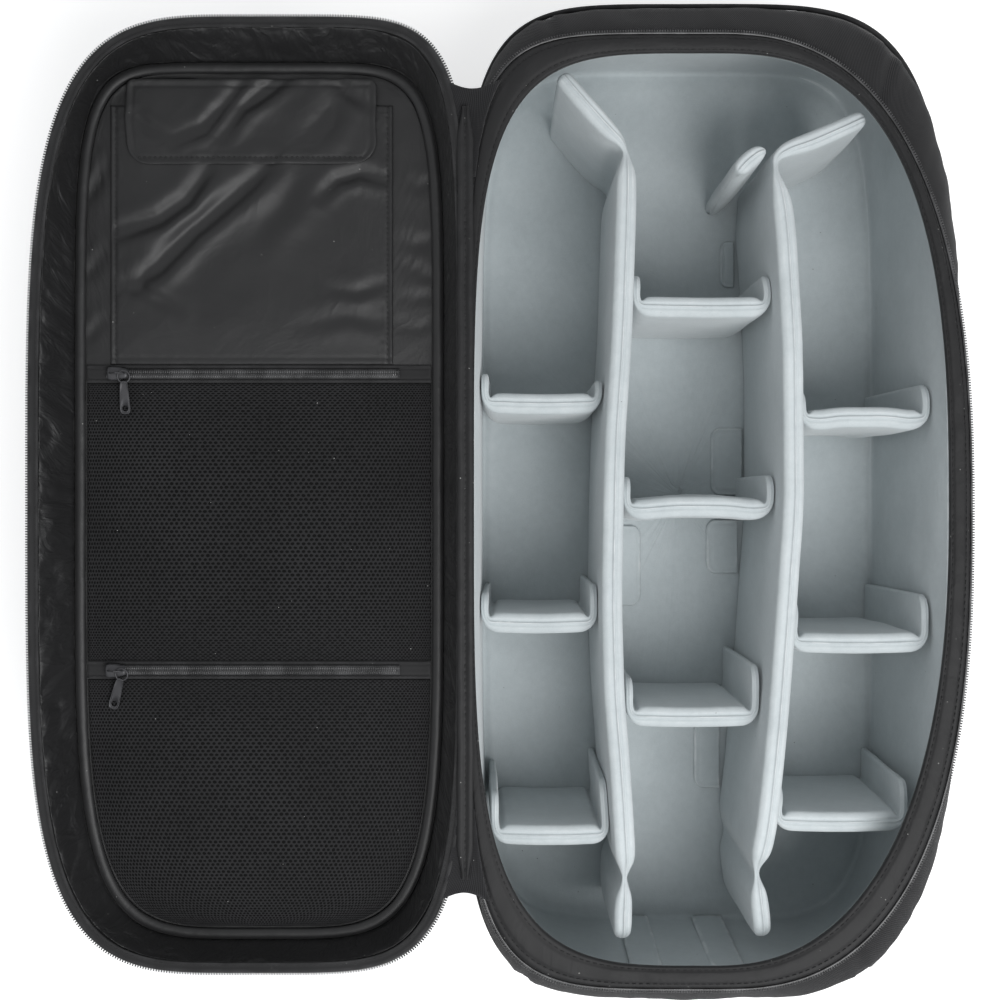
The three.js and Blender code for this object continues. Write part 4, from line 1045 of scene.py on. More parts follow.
def evenly(rows: Sequence[Sequence[float]], step: float, ends: Sequence[float]) -> list[tuple[float, list[float]]]:
    """Reads a table of stations as a smooth path and walks it in even steps.

    Args:
        rows: Stations whose first two numbers are X and Y.
        step: Length of a step.
        ends: Distances from each end that get a station of their own.

    Returns:
        Distance from the start and the row there, for each step.
    """
    fine = 600
    read = [spline(rows, k / fine) for k in range(fine + 1)]
    reach = [0.0]
    for before, here in zip(read, read[1:]):
        reach.append(reach[-1] + math.hypot(here[0] - before[0], here[1] - before[1]))
    total = reach[-1]
    inner = total - 2 * ends[-1]
    count = max(2, round(inner / step))
    wanted = list(ends) + [ends[-1] + inner * k / count for k in range(1, count)]
    wanted += [total - far for far in reversed(ends)]
    out = []
    k = 0
    for target in wanted:
        while k < fine - 1 and reach[k + 1] < target:
            k += 1
        part = (target - reach[k]) / max(1e-9, reach[k + 1] - reach[k])
        out.append((target, [mix(a, b, part) for a, b in zip(read[k], read[k + 1])]))
    return out


@dataclass
class PaddedWall:
    """A padded divider wall that stands on the lining's floor, with a sewn seam along its top."""

    name: str
    stops: list[WallStop]
    nodes: tuple[str, ...]
    seed: float
    seam: float = 0.0
    bulge: float = 0.9
    crown: float = 5.0
    step: float = 3.0
    pinches: tuple[float, ...] = ()
    base: float = LEVELS.floor + 0.35
    end_round: float = 9.0

    def build(self) -> bpy.types.Object:
        """Builds and dresses the wall.

        Returns:
            The piece.
        """
        stations = evenly([stop.row() for stop in self.stops], self.step, (0.12, 0.7, 1.7, 3.2, 5.2, 7.5))
        total = stations[-1][0] + 0.12
        tops = (0.97, 0.88, 0.74, 0.56, 0.4)
        beads = (1.7, 1.0, 0.45, 0.0, -0.45, -1.0, -1.7)
        side_rows = (0.0, 0.03, 0.08, 0.18, 0.3, 0.42, 0.54, 0.66, 0.78, 0.88, 0.95)
        loop = len(side_rows) * 2 + len(tops) * 2 + len(beads)
        frames = []
        for k, (reach, row) in enumerate(stations):
            before = stations[max(0, k - 1)][1]
            after = stations[min(len(stations) - 1, k + 1)][1]
            run = Vector((after[0] - before[0], after[1] - before[1])).normalized()
            end = min(reach, total - reach)
            half = max(0.35, row[4] / 2)
            tight = math.sqrt(max(0.02, 1 - (1 - min(1.0, end / half)) ** 2)) if end < half else 1.0
            drop = 0.0
            if end < self.end_round:
                drop = self.end_round * (1 - math.sqrt(max(0.0, 1 - (1 - end / self.end_round) ** 2)))
            near_pinch = max([bell(reach - pinch, 12.0) for pinch in self.pinches], default=0.0)
            frames.append((reach, row, Vector((-run.y, run.x)), half * tight, drop, near_pinch))

        def place(i: int, j: int) -> Vector:
            """Point of the wall's section: up one side, over the top and down the other."""
            reach, row, across, half, drop, near_pinch = frames[j]
            height = row[5] - drop
            crown = min(self.crown, half * 0.95)
            body = height - crown
            last = len(side_rows)
            if i < last or i >= loop - last:
                side = 1 if i < last else -1
                share = side_rows[i] if i < last else side_rows[loop - 1 - i]
                up = share * body
                soft = math.sin(math.pi * min(1.0, share * 1.02)) ** 0.7
                fat = half * (0.93 + 0.07 * smooth(share * 9)) + self.bulge * soft * min(1.0, half / 5)
                fat += 0.9 * soft * grain(reach / 30, up / 46, self.seed + side * 3)
                fat += 0.3 * soft * ridged(reach / 17, up / 60, self.seed + side * 5)
                fat += near_pinch * (1.2 * ridged(reach / 8, up / 60, self.seed + side) + 0.5) * soft
                where = side * max(0.3, fat)
            else:
                k = i - last
                marks = [half * top for top in tops] + [self.seam + bead for bead in beads]
                marks += [-half * top for top in reversed(tops)]
                marks.sort(reverse=True)
                where = max(-half * 0.985, min(half * 0.985, marks[k]))
                flat = abs(where / half)
                up = body + crown * (1 - flat ** 2.5) ** 0.4
                far = where - self.seam
                full = min(1.0, half / 5)
                up += full * (0.5 * bell(far, 0.5) - 0.75 * bell(abs(far) - 1.25, 0.7))
                up += 0.35 * full * grain(reach / 13, where / 6, self.seed + 9)
                up += near_pinch * 0.9 * ridged(reach / 6, where / 9, self.seed) * full
            lean = up / max(1.0, row[5])
            x = mix(row[0], row[2], lean) + across.x * where
            y = mix(row[1], row[3], lean) + across.y * where
            sway = 0.35 * grain(reach / 60, up / 70, self.seed + 20) * smooth(lean * 2)
            return Vector((x + across.x * sway, y + across.y * sway, self.base + up))

        bm = bmesh.new()
        add_grid(bm, loop, len(stations) - 1, place, (2.0 * MM, self.step * MM), True, False, True)
        piece = finish_mesh(bm, self.name, True)
        add_subdivision(piece)
        dress(piece, Finish.TRICOT, *self.nodes)
        return piece


LEFT_WALL = (
    (0.037, 0.321, 9.6, 0.79), (0.05, 0.3215, 10.8, 0.83), (0.068, 0.322, 11.2, 0.84), (0.085, 0.3235, 9.6, 0.845),
    (0.0945, 0.3245, 5.2, 0.84), (0.104, 0.325, 2.6, 0.83), (0.1135, 0.325, 6.0, 0.86), (0.128, 0.3243, 11.6, 0.9),
    (0.16, 0.3195, 12.5, 0.93), (0.221, 0.31, 12.5, 0.95), (0.291, 0.299, 12.5, 0.95), (0.345, 0.2945, 12.5, 0.95),
    (0.392, 0.2925, 12.5, 0.95), (0.47, 0.2945, 12.5, 0.95), (0.5535, 0.299, 12.5, 0.95), (0.61, 0.306, 12.5, 0.945),
    (0.665, 0.314, 12.5, 0.94), (0.74, 0.3205, 12.5, 0.935), (0.8, 0.3245, 12.3, 0.93), (0.828, 0.3255, 11.0, 0.92),
    (0.8425, 0.3255, 6.0, 0.9), (0.852, 0.324, 2.8, 0.885), (0.8625, 0.3125, 6.0, 0.895), (0.872, 0.292, 9.6, 0.9),
    (0.887, 0.262, 11.0, 0.9), (0.908, 0.222, 11.0, 0.895), (0.932, 0.18, 10.4, 0.88),
)
RIGHT_WALL = (
    (0.039, 0.638, 9.6, 0.79), (0.052, 0.635, 10.8, 0.83), (0.072, 0.63, 11.2, 0.84), (0.089, 0.6255, 9.6, 0.845),
    (0.099, 0.6235, 5.2, 0.84), (0.1085, 0.622, 2.6, 0.83), (0.119, 0.622, 6.0, 0.86), (0.134, 0.6275, 11.6, 0.9),
    (0.165, 0.637, 12.5, 0.93), (0.219, 0.648, 12.5, 0.95), (0.288, 0.662, 12.5, 0.95), (0.35, 0.672, 12.5, 0.95),
    (0.4175, 0.682, 12.5, 0.95), (0.486, 0.692, 12.5, 0.95), (0.5556, 0.6925, 12.5, 0.95), (0.61, 0.692, 12.5, 0.95),
    (0.66, 0.69, 12.5, 0.95), (0.72, 0.6835, 12.5, 0.94), (0.77, 0.6765, 12.5, 0.935), (0.8, 0.67, 11.4, 0.925),
    (0.8225, 0.661, 6.0, 0.905), (0.8365, 0.6585, 2.8, 0.88), (0.848, 0.664, 5.6, 0.875), (0.856, 0.69, 9.4, 0.88),
    (0.8635, 0.737, 11.2, 0.88), (0.875, 0.797, 11.2, 0.88), (0.889, 0.862, 10.6, 0.87),
)
SIDE_TAB = (
    (0.8535, 0.641, 3.4, 0.87), (0.853, 0.634, 6.0, 0.875), (0.851, 0.6225, 9.4, 0.88), (0.8465, 0.608, 10.6, 0.88),
    (0.84, 0.592, 10.4, 0.875), (0.832, 0.577, 9.6, 0.865),
)


class Column(Enum):
    """The three columns that the long dividers make."""

    LEFT = "left"
    MIDDLE = "middle"
    RIGHT = "right"


@dataclass(frozen=True)
class CrossPlan:
    """Where a cross divider stands: share along the floor, its two tabs and how its middle bows."""

    place: str
    column: Column
    along: float
    tabs: tuple[float, float]
    bow: float
    seed: float


@dataclass
class Dividers:
    """The long dividers with their sewn hinges, the nine cross dividers, and the hook flanges and tabs."""

    depth: float = 140.0
    thick: float = 12.5
    cross_rise: float = 0.8
    tab_thick: float = 5.0
    turn: float = 5.0
    divider_clear: float = 0.6
    lining_clear: float = 1.2
    plans: tuple[CrossPlan, ...] = (
        CrossPlan("left_upper", Column.LEFT, 0.596, (18, 14), -1.0, 1.0),
        CrossPlan("left_middle", Column.LEFT, 0.368, (17, 22), -1.0, 2.0),
        CrossPlan("left_lower", Column.LEFT, 0.147, (24, 32), -1.0, 3.0),
        CrossPlan("middle_upper", Column.MIDDLE, 0.697, (19, 19), -1.0, 4.0),
        CrossPlan("middle_middle", Column.MIDDLE, 0.486, (19, 20), 1.0, 5.0),
        CrossPlan("middle_lower", Column.MIDDLE, 0.27, (22, 30), -1.0, 6.0),
        CrossPlan("right_upper", Column.RIGHT, 0.579, (17, 21), 1.0, 7.0),
        CrossPlan("right_middle", Column.RIGHT, 0.347, (24, 28), -1.0, 8.0),
        CrossPlan("right_lower", Column.RIGHT, 0.161, (20, 24), -1.0, 9.0),
    )

    def build(self) -> None:
        """Builds and dresses the dividers."""
        self.build_long("long_divider_left", LEFT_WALL, ("divider_left", "divider_left_flap_top",
                                                         "divider_left_flap_bottom"), 11.0)
        self.build_long("long_divider_right", RIGHT_WALL, ("divider_right", "divider_right_flap_top",
                                                           "divider_right_flap_bottom"), 17.0)
        stops = [self.stop(*row) for row in SIDE_TAB]
        PaddedWall("side_tab", stops, ("divider_right_side_tab",), 23.0, step=2.2, bulge=0.5, end_round=4.0).build()
        for plan in self.plans:
            self.build_cross(plan)
        self.build_flanges()

    @staticmethod
    def floor_y(along: float) -> float:
        """Y of a share along the floor."""
        return FLOOR.bottom + along * (FLOOR.top - FLOOR.bottom)

    @staticmethod
    def floor_x(across: float) -> float:
        """X of a share across the floor."""
        return FLOOR.left + across * (FLOOR.right - FLOOR.left)

    def stop(self, along: float, across: float, thick: float, rise: float) -> WallStop:
        """A wall station from shares of the floor."""
        at = Vector((self.floor_x(across), self.floor_y(along)))
        return WallStop(at, at, thick, rise * self.depth)

    def build_long(self, name: str, rows: Sequence[tuple[float, float, float, float]], nodes: tuple[str, ...],
                   seed: float) -> None:
        """Builds one long divider with its flaps as one wall, pinched at its sewn hinges.

        Args:
            name: Name of the piece.
            rows: Its stations.
            nodes: CAD nodes that it stands for.
            seed: Where its noise is read.
        """
        stops = [self.stop(*row) for row in rows]
        pinches = []
        reach = 0.0
        for k, stop in enumerate(stops):
            if k:
                reach += (stop.foot - stops[k - 1].foot).length
            if stop.thick < 3:
                pinches.append(reach)
        PaddedWall(name, stops, nodes, seed, seam=-0.7, step=3.4, pinches=tuple(pinches), end_round=4.0).build()

    def path_x(self, rows: Sequence[tuple[float, float, float, float]], y: float) -> float:
        """X of a long divider's middle at a place in Y."""
        along = (y - FLOOR.bottom) / (FLOOR.top - FLOOR.bottom)
        for before, after in zip(rows, rows[1:]):
            if before[0] <= along <= after[0]:
                share = (along - before[0]) / (after[0] - before[0])
                return self.floor_x(mix(before[1], after[1], share))
        return self.floor_x(rows[0][1])

    @staticmethod
    def lining_x(side: int, y: float, z: float) -> float:
        """X of the lining's inner wall on one side."""
        if z < LEVELS.shoulder:
            share = (z - LEVELS.floor) / (LEVELS.shoulder - LEVELS.floor)
            return mix(FLOOR.side_x(side, y), LINING_MID.side_x(side, y), share)
        share = (z - LEVELS.shoulder) / (LEVELS.shell_top - LEVELS.shoulder)
        return mix(LINING_MID.side_x(side, y), RIM_INNER.side_x(side, y), share)

    def bounds(self, column: Column, y: float, z: float) -> tuple[float, float]:
        """What bounds a column on its left and right.

        Args:
            column: The column.
            y: Place in Y.
            z: Height.

        Returns:
            The lowest and highest X that a cross divider may take.
        """
        pad = self.thick / 2 + self.divider_clear
        left = self.path_x(LEFT_WALL, y)
        right = self.path_x(RIGHT_WALL, y)
        if column is Column.LEFT:
            return self.lining_x(-1, y, z) + self.lining_clear, left - pad
        if column is Column.MIDDLE:
            return left + pad, right - pad
        return right + pad, self.lining_x(1, y, z) - self.lining_clear

    def build_cross(self, plan: CrossPlan) -> None:
        """Builds one cross divider: a padded middle and two thin tabs folded towards the top of the bag."""
        height = self.cross_rise * self.depth
        head_z = LEVELS.floor + height
        y = self.floor_y(plan.along)
        half = self.tab_thick / 2
        low_tab, high_tab = plan.tabs
        rows = [("low", half, low_tab, 4.2), ("low", half, low_tab * 0.6, 4.6), ("low", half, self.turn + 2.5, 4.4),
                ("low", half + 0.3, self.turn - 1.0, 4.6), ("low", half + 1.6, 0.9, 5.6),
                ("low", half + 3.8, -0.2, 9.4), ("low", half + 6.6, -0.4, 12.0), ("low", half + 12, -0.5, 12.6)]
        high = [("high", step, north if k > 2 else north * high_tab / low_tab, thick)
                for k, (_, step, north, thick) in enumerate(rows)]
        middle = [("middle", share, plan.bow * (1 - abs(share - 0.5)), 12.6) for share in (0.32, 0.5, 0.68)]
        stops = []
        for end, step, north, thick in rows + middle + high[::-1]:
            at = y + north
            xs = []
            for z in (LEVELS.floor, head_z):
                low = max(self.bounds(plan.column, at, z)[0], self.bounds(plan.column, y, z)[0])
                top = min(self.bounds(plan.column, at, z)[1], self.bounds(plan.column, y, z)[1])
                xs.append({"low": low + step, "high": top - step}.get(end, mix(low, top, step)))
            stops.append(WallStop(Vector((xs[0], at)), Vector((xs[1], at)), thick, height))
        PaddedWall(f"cross_divider_{plan.place}", stops, (f"cross_{plan.place}",), plan.seed * 7.3, step=2.6,
                   bulge=0.7, seam=0.2, crown=4.6, end_round=11.0).build()

    def build_flanges(self) -> None:
        """Builds the thin stitched hook flanges on the floor and the tabs on the bottom wall."""
        flanges = (
            ("flange_left_middle", LEFT_WALL, 1, 0.37, 0.465, 22.0),
            ("flange_right_upper", RIGHT_WALL, -1, 0.745, 0.8, 9.0),
            ("flange_right_middle", RIGHT_WALL, -1, 0.5, 0.58, 21.0),
            ("flange_right_inner", RIGHT_WALL, -1, 0.408, 0.472, 21.0),
            ("flange_right_lower", RIGHT_WALL, -1, 0.155, 0.235, 17.0),
        )
        for node, rows, side, start, end, reach in flanges:
            low = self.floor_y(start)
            high = self.floor_y(end)
            faces = [self.path_x(rows, mix(low, high, k / 8)) + side * (self.thick / 2 + 0.9) for k in range(9)]
            near = max(faces) if side > 0 else min(faces)
            self.build_patch("hook_" + node, node, near, near + side * reach, low, high)
        for node, near, side in (("wall_tab_left", 79.0, 1), ("wall_tab_right", 148.2, -1)):
            self.build_wall_tab("hook_" + node, node, near, side)

    def build_patch(self, name: str, node: str, near: float, far: float, low: float, high: float) -> None:
        """Builds one flange: a thin pad with two rounded corners and a sewn border.

        Args:
            name: Name of the piece.
            node: CAD node that it stands for.
            near: X of its edge at the divider.
            far: X of its free edge.
            low: Its lowest Y.
            high: Its highest Y.
        """
        columns, rows = 18, 26
        radius = min(7.0, abs(far - near) * 0.6)
        base = LEVELS.floor + 0.3
        middle = (low + high) / 2
        half = (high - low) / 2

        def reach_at(y: float) -> float:
            """Share of the width that the rounded corners leave at a place in Y."""
            over = abs(y - middle) - (half - radius)
            if over <= 0:
                return 1.0
            return 1 - radius / abs(far - near) * (1 - math.sqrt(max(0.0, 1 - (over / radius) ** 2)))

        def place(i: int, j: int) -> Vector:
            """Point of the pad's upper or lower face."""
            y = mix(low, high, 0.5 - 0.5 * math.cos(math.pi * j / rows))
            face = i if i <= columns else 2 * columns + 1 - i
            share = face / columns
            x = mix(near, far, share * reach_at(y))
            border = min(half - abs(y - middle), abs(mix(near, far, reach_at(y)) - x))
            if i <= columns:
                rise = 1.9 * smooth(border / 1.2 + 0.2) - 0.8 * bell(border - 2.6, 0.8)
                return Vector((x, y, base + 0.1 + rise + 0.12 * grain(x / 7, y / 7)))
            return Vector((x, y, base))

        bm = bmesh.new()
        add_grid(bm, 2 * columns + 2, rows, place, (1.0 * MM, 1.5 * MM), True, False, True)
        points = []
        for k in range(60):
            turn = k / 59
            y = mix(low + 2.6, high - 2.6, turn)
            points.append(Vector((mix(near, far, reach_at(y)) - math.copysign(2.6, far - near), y, base + 1.05)))
        add_stitches(bm, points, [Vector((0, 0, 1))] * len(points), 2.2, 0.9, 0.22)
        piece = dress(finish_mesh(bm, name, True), Finish.TRICOT, node)

    def build_wall_tab(self, name: str, node: str, near: float, side: int) -> None:
        """Builds one thin tab that is pressed to the bottom wall.

        Args:
            name: Name of the piece.
            node: CAD node that it stands for.
            near: X of its edge at the divider's flap.
            side: Direction of its free edge.
        """
        columns, rows = 14, 30
        width = 20.0
        foot = LEVELS.floor + 0.3
        head = LEVELS.shoulder - 0.3

        def place(i: int, j: int) -> Vector:
            """Point of the tab's front or back face."""
            up = j / rows
            face = i if i <= columns else 2 * columns + 1 - i
            share = face / columns
            round_off = 1 - 0.35 * max(0.0, (up - 0.86) / 0.14) ** 2
            x = near + side * width * share * round_off
            z = mix(foot, head, up)
            y = mix(FLOOR.bottom, LINING_MID.bottom, up) + 1.2
            border = min(width * (1 - share), (1 - up) * 98)
            proud = 1.5 * smooth(border / 1.4 + 0.3) - 0.5 * bell(border - 2.6, 0.8) if i <= columns else 0.0
            return Vector((x, y + proud, z))

        bm = bmesh.new()
        add_grid(bm, 2 * columns + 2, rows, place, (1.3 * MM, 3.0 * MM), True, False, True)
        piece = dress(finish_mesh(bm, name, True), Finish.TRICOT, node)


@dataclass(frozen=True)
class Fold:
    """A soft fold pressed into a flat cloth along a curve: a valley with a swell beside it."""

    path: tuple[tuple[float, float], ...]
    width: float
    depth: float

    def height(self, x: float, y: float) -> float:
        """How far the fold moves the cloth at a point.

        Args:
            x: Place in X, in millimetres.
            y: Place in Y.

        Returns:
            The rise, negative in the valley.
        """
        best = 1e9
        signed = 0.0
        along = 0.0
        last = len(self.path) - 1
        for k in range(last):
            ax, ay = self.path[k]
            bx, by = self.path[k + 1]
            run = Vector((bx - ax, by - ay))
            rel = Vector((x - ax, y - ay))
            share = min(1.0, max(0.0, rel.dot(run) / run.length_squared))
            off = rel - run * share
            if off.length < best:
                best = off.length
                signed = math.copysign(off.length, run.x * rel.y - run.y * rel.x)
                along = (k + share) / last
        if best > 5 * self.width:
            return 0.0
        fade = math.sin(math.pi * min(1.0, max(0.0, 0.06 + 0.88 * along))) ** 0.6
        swell = 0.55 * bell(signed - 1.7 * self.width, 1.1 * self.width) + 0.25 * bell(
            signed + 1.9 * self.width, 1.2 * self.width)
        return 1.5 * self.depth * fade * (swell - bell(signed, self.width))


def folds_height(folds: Sequence[Fold], x: float, y: float) -> float:
    """Rise of all folds together at a point."""
    return sum(fold.height(x, y) for fold in folds)


SLEEVE_FOLDS = (
    Fold(((-172, 194), (-184, 176), (-200, 165), (-226, 157)), 5.0, 2.6),
    Fold(((-136, 196), (-156, 178), (-181, 158), (-200, 138), (-216, 126)), 5.5, 2.8),
    Fold(((-64, 188), (-82, 192), (-96, 188), (-106, 178)), 4.0, 1.6),
    Fold(((-118, 190), (-128, 172), (-146, 152)), 7.0, 1.0),
    Fold(((-225, 132), (-206, 120), (-190, 112)), 4.0, 0.9),
    Fold(((-66, 128), (-84, 122), (-98, 124)), 4.0, 0.8),
    Fold(((-66, 104), (-90, 108), (-120, 102)), 5.0, 0.7),
)
FLAP_FOLDS = (
    Fold(((-150, 246), (-162, 232), (-174, 218), (-192, 211)), 4.0, 1.9),
    Fold(((-124, 250), (-140, 238), (-152, 230), (-164, 214)), 4.5, 2.1),
    Fold(((-96, 236), (-102, 222), (-112, 212)), 7.0, 1.4),
    Fold(((-76, 232), (-88, 238), (-98, 248)), 4.0, 1.0),
    Fold(((-214, 226), (-206, 218), (-196, 214)), 3.0, 0.8),
)
PANEL_FOLDS = (
    Fold(((-58, 190), (-48, 186), (-38, 188)), 2.5, 1.3),
    Fold(((-60, 156), (-50, 151), (-40, 153)), 2.8, 1.4),
    Fold(((-60, 141), (-50, 137), (-40, 131)), 2.4, 1.2),
    Fold(((-60, 121), (-50, 119), (-40, 121)), 2.6, 1.1),
    Fold(((-60, 104), (-48, 101), (-40, 104)), 2.4, 0.9),
    Fold(((-243, 176), (-236, 190), (-230, 200)), 2.6, 1.3),
    Fold(((-243, 132), (-236, 142), (-229, 150)), 2.8, 1.2),
    Fold(((-243, 96), (-236, 104), (-229, 108)), 2.6, 1.1),
    Fold(((-222, 240), (-200, 247), (-170, 248)), 3.0, 1.3),
)


def add_plate(bm: bmesh.types.BMesh, columns: int, rows: int, low: float, high: float,
              edges: Callable[[float], tuple[float, float]], top: Callable[[float, float, float], float],
              base: float, soft: float = 1.0) -> None:
    """Adds a thin plate of cloth: a shaped upper face over a flat lower one, closed all round.

    Args:
        bm: The mesh that takes it.
        columns: Faces across.
        rows: Faces along.
        low: Its lowest Y.
        high: Its highest Y.
        edges: Gives its left and right X at a place in Y.
        top: Gives the height of its upper face from X, Y and the distance to the nearest edge.
        base: Height of its lower face.
        soft: Width over which the edge rounds off.
    """
    middle = (low + high) / 2
    half = (high - low) / 2

    def place(i: int, j: int) -> Vector:
        """Point of the upper or lower face."""
        t = j / rows
        y = mix(low, high, mix(t, smooth(t), 0.5))
        face = i if i <= columns else 2 * columns + 1 - i
        t = face / columns
        left, right = edges(y)
        x = mix(left, right, mix(t, smooth(t), 0.5))
        if i > columns:
            return Vector((x, y, base))
        border = min(half - abs(y - middle), x - left, right - x)
        level = top(x, y, border)
        raised = smooth(border / soft * 0.5 + 0.5) if border < soft else 1.0
        return Vector((x, y, mix(base + 0.15, level, raised)))

    left, right = edges(middle)
    add_grid(bm, 2 * columns + 2, rows, place, ((right - left) / columns * MM, (high - low) / rows * MM), True, False,
             True)


@dataclass
class Lid:
    """The lid: its padded tray, wrinkled gusset, bound edge, zip teeth, inner piping and panel."""

    columns: int = 440
    edge: float = 4.0
    tooth_pitch: float = 1.5
    piping_width: float = 3.1
    piping_height: float = 2.5
    gusset_width: float = 34.0
    depth: float = 38.0

    def build(self) -> None:
        """Builds and dresses the lid's pieces."""
        self.build_tray()
        self.build_gusset()
        self.build_binding()
        build_tooth_row("lid_coil", LID, 1, self.tooth_pitch, "lid_zip_teeth")
        self.build_piping()
        self.build_panel()

    def build_tray(self) -> None:
        """The outer tray of coarse cloth, with a soft crowned underside."""
        angles, length = LID.walk(self.columns)
        rim = LEVELS.rim
        right_wall = 0.52 + 0.13 * self.depth
        outer = between_sections([
            Section(LID.inset(16), rim - self.depth),
            Section(LID.inset(7, 10, 7, 7), rim - self.depth * 0.86),
            Section(LID.inset(2, right_wall, 2, 2), rim - self.depth * 0.5),
            Section(LID, rim - 0.8),
        ], 5)
        edge = [Section(LID.inset(0.4), rim - 0.15), Section(LID.inset(1.2), rim), Section(LID.inset(3.2), rim),
                Section(LID.inset(3.8), rim - 0.3)]
        flare = TRAY.blended(LID.inset(self.edge), 0.45)
        inner = between_sections([Section(LID.inset(self.edge), rim - 1.2), Section(flare, rim - 28 * 0.55 - 3.5),
                                  Section(TRAY, LEVELS.tray)], 3)
        sections = outer + edge + inner
        last_outer = len(outer) - 1
        normals = [LID.normal(angle) for angle in angles]

        def relief(i: int, j: int, point: Vector) -> Vector:
            """Soft dents of the padded wall."""
            if j > last_outer - 1 or j < 1:
                return point
            s = i / self.columns * length
            dent = 0.9 * grain(s / 45, j * 0.3, 12.0) + 0.35 * grain(s / 12, j * 0.5, 15.0) - 0.5
            across = normals[i] * dent
            return point + Vector((across.x, across.y, 0.0))

        bm = bmesh.new()
        add_skin(bm, sections, angles, length, relief)
        dress(finish_mesh(bm, "lid_tray", True), Finish.CORDURA, "lid_shell")

    def build_gusset(self) -> None:
        """The nylon gusset between the zip tape and the inner piping, puckered along both seams."""
        angles, length = LID.walk(720)
        rows = 26
        start = LID.inset(5.2)
        end = TRAY.inset(-0.6)
        low = LEVELS.tray + 2.2
        high = LEVELS.rim - 0.9

        def place(i: int, j: int) -> Vector:
            """Point of the gusset from its outer edge (row 0) to its inner one."""
            share = j / rows
            outline = start.blended(end, share ** 1.15)
            flat = outline.point(angles[i])
            s = i / 720 * length
            slant = s + share * 6
            loose = math.sin(math.pi * share) ** 0.75
            drape = high + (low - high) * (share ** 1.35)
            folds = 3.4 * ridged(slant / 17, share * 0.9, 3.3) + 1.6 * ridged(slant / 8.5, share * 1.3, 8.8)
            folds += 1.5 * grain(s / 34, share * 1.5, 5.5)
            seam = bell(share, 0.16) + bell(1 - share, 0.2)
            pucker = 1.1 * seam * grain(s / 3.6, share * 2.2, 6.6)
            rise = loose * (folds + 2.8) + pucker * (1 - bell(share, 0.02))
            return Vector((flat.x, flat.y, drape + rise))

        bm = bmesh.new()
        add_grid(bm, 720, rows, place, (length / 720 * MM, 1.1 * MM), True)
        piece = finish_mesh(bm, "lid_gusset", False)
        add_thickness(piece, 0.6, -1.0)
        dress(piece, Finish.GUSSET, "lid_shell")

    def build_binding(self) -> None:
        """The bound zip tape on the lid's edge, with its ridge and stitches."""
        angles, length = LID.walk(self.columns)
        base = LEVELS.rim + 0.25
        profile = ((0.1, 0.0), (-0.2, 0.6), (0.0, 1.15), (0.9, 1.4), (1.9, 1.3), (2.6, 0.7), (3.4, 0.75), (4.4, 0.8),
                   (5.1, 0.55), (5.4, 0.1), (3.0, 0.0))

        def place(i: int, j: int) -> Vector:
            """Point of the tape's section."""
            inwards, rise = profile[j]
            flat = LID.point(angles[i]) - LID.normal(angles[i]) * inwards
            s = i / self.columns * length
            wave = 0.15 * grain(s / 9, inwards / 3, 2.0) if rise > 0.3 else 0.0
            return Vector((flat.x, flat.y, base + rise + wave))

        bm = bmesh.new()
        add_grid(bm, self.columns, len(profile), place, (length / self.columns * MM, 0.8 * MM), True, True)
        points = []
        for angle in [*angles, angles[0]]:
            flat = LID.point(angle) - LID.normal(angle) * 3.9
            points.append(Vector((flat.x, flat.y, base + 0.85)))
        add_stitches(bm, points, [Vector((0, 0, 1))] * len(points), 2.4, 0.9, 0.22)
        dress(finish_mesh(bm, "lid_edge_tape", True), Finish.BINDING, "lid_binding")

    def build_piping(self) -> None:
        """The fat round piping at the foot of the gusset."""
        outline = TRAY.inset(2.8)
        angles, length = outline.walk(self.columns)
        normals = [outline.normal(angle) for angle in angles]
        sides = 14
        middle = LEVELS.tray + 0.3 + self.piping_height

        def place(i: int, j: int) -> Vector:
            """Point of the cord's section, with the seam lip on its inner side."""
            turn = j / sides * FULL_TURN
            s = i / self.columns * length
            lump = 1 + 0.05 * grain(s / 8, turn, 4.0) + 0.05 * grain(s / 25, turn, 9.0)
            lip = 0.35 * bell(turn - math.pi * 0.85, 0.3)
            out = (self.piping_width * lump) * math.cos(turn) - lip
            rise = self.piping_height * lump * math.sin(turn)
            flat = outline.point(angles[i]) + normals[i] * out
            return Vector((flat.x, flat.y, middle + rise))

        bm = bmesh.new()
        add_grid(bm, self.columns, sides, place, (length / self.columns * MM, 1.3 * MM), True, True)
        dress(finish_mesh(bm, "lid_cord", True), Finish.NYLON, "lid_piping")

    def build_panel(self) -> None:
        """The inner panel of smooth nylon, wrinkled where the sleeve leaves it bare."""
        angles, length = PANEL.walk(300)
        shares = [1.0, 0.995, 0.985, 0.97, 0.95, 0.925, 0.9, 0.87, 0.84, 0.81, 0.78, 0.74, 0.7, 0.64, 0.56, 0.46,
                  0.34,
                  0.2, 0.05]
        top = LEVELS.panel_top
        sections = [Section(PANEL, LEVELS.tray + 0.3), Section(PANEL, top - 0.4)]
        sections += [Section(PANEL.shrunk(share), top) for share in shares]

        def relief(i: int, j: int, point: Vector) -> Vector:
            """Folds and puckers of the bare strips."""
            if j < 2 or point.y < 60:
                return point
            s = i / 300 * length
            share = shares[j - 2]
            border = bell((1 - share) * 100, 5.0)
            rise = folds_height(PANEL_FOLDS, point.x, point.y)
            rise += 0.45 * border * grain(s / 5, share * 9, 3.0)
            rise += 0.5 * grain(point.x / 22, point.y / 9, 5.0)
            inside = -229 < point.x < -63 and point.y < 232
            return point + Vector((0, 0, min(rise, 0.15) if inside else min(rise, 2.0)))

        bm = bmesh.new()
        add_skin(bm, sections, angles, length, relief)
        piece = finish_mesh(bm, "lid_lining", True)
        add_subdivision(piece)
        dress(piece, Finish.NYLON, "lid_panel")


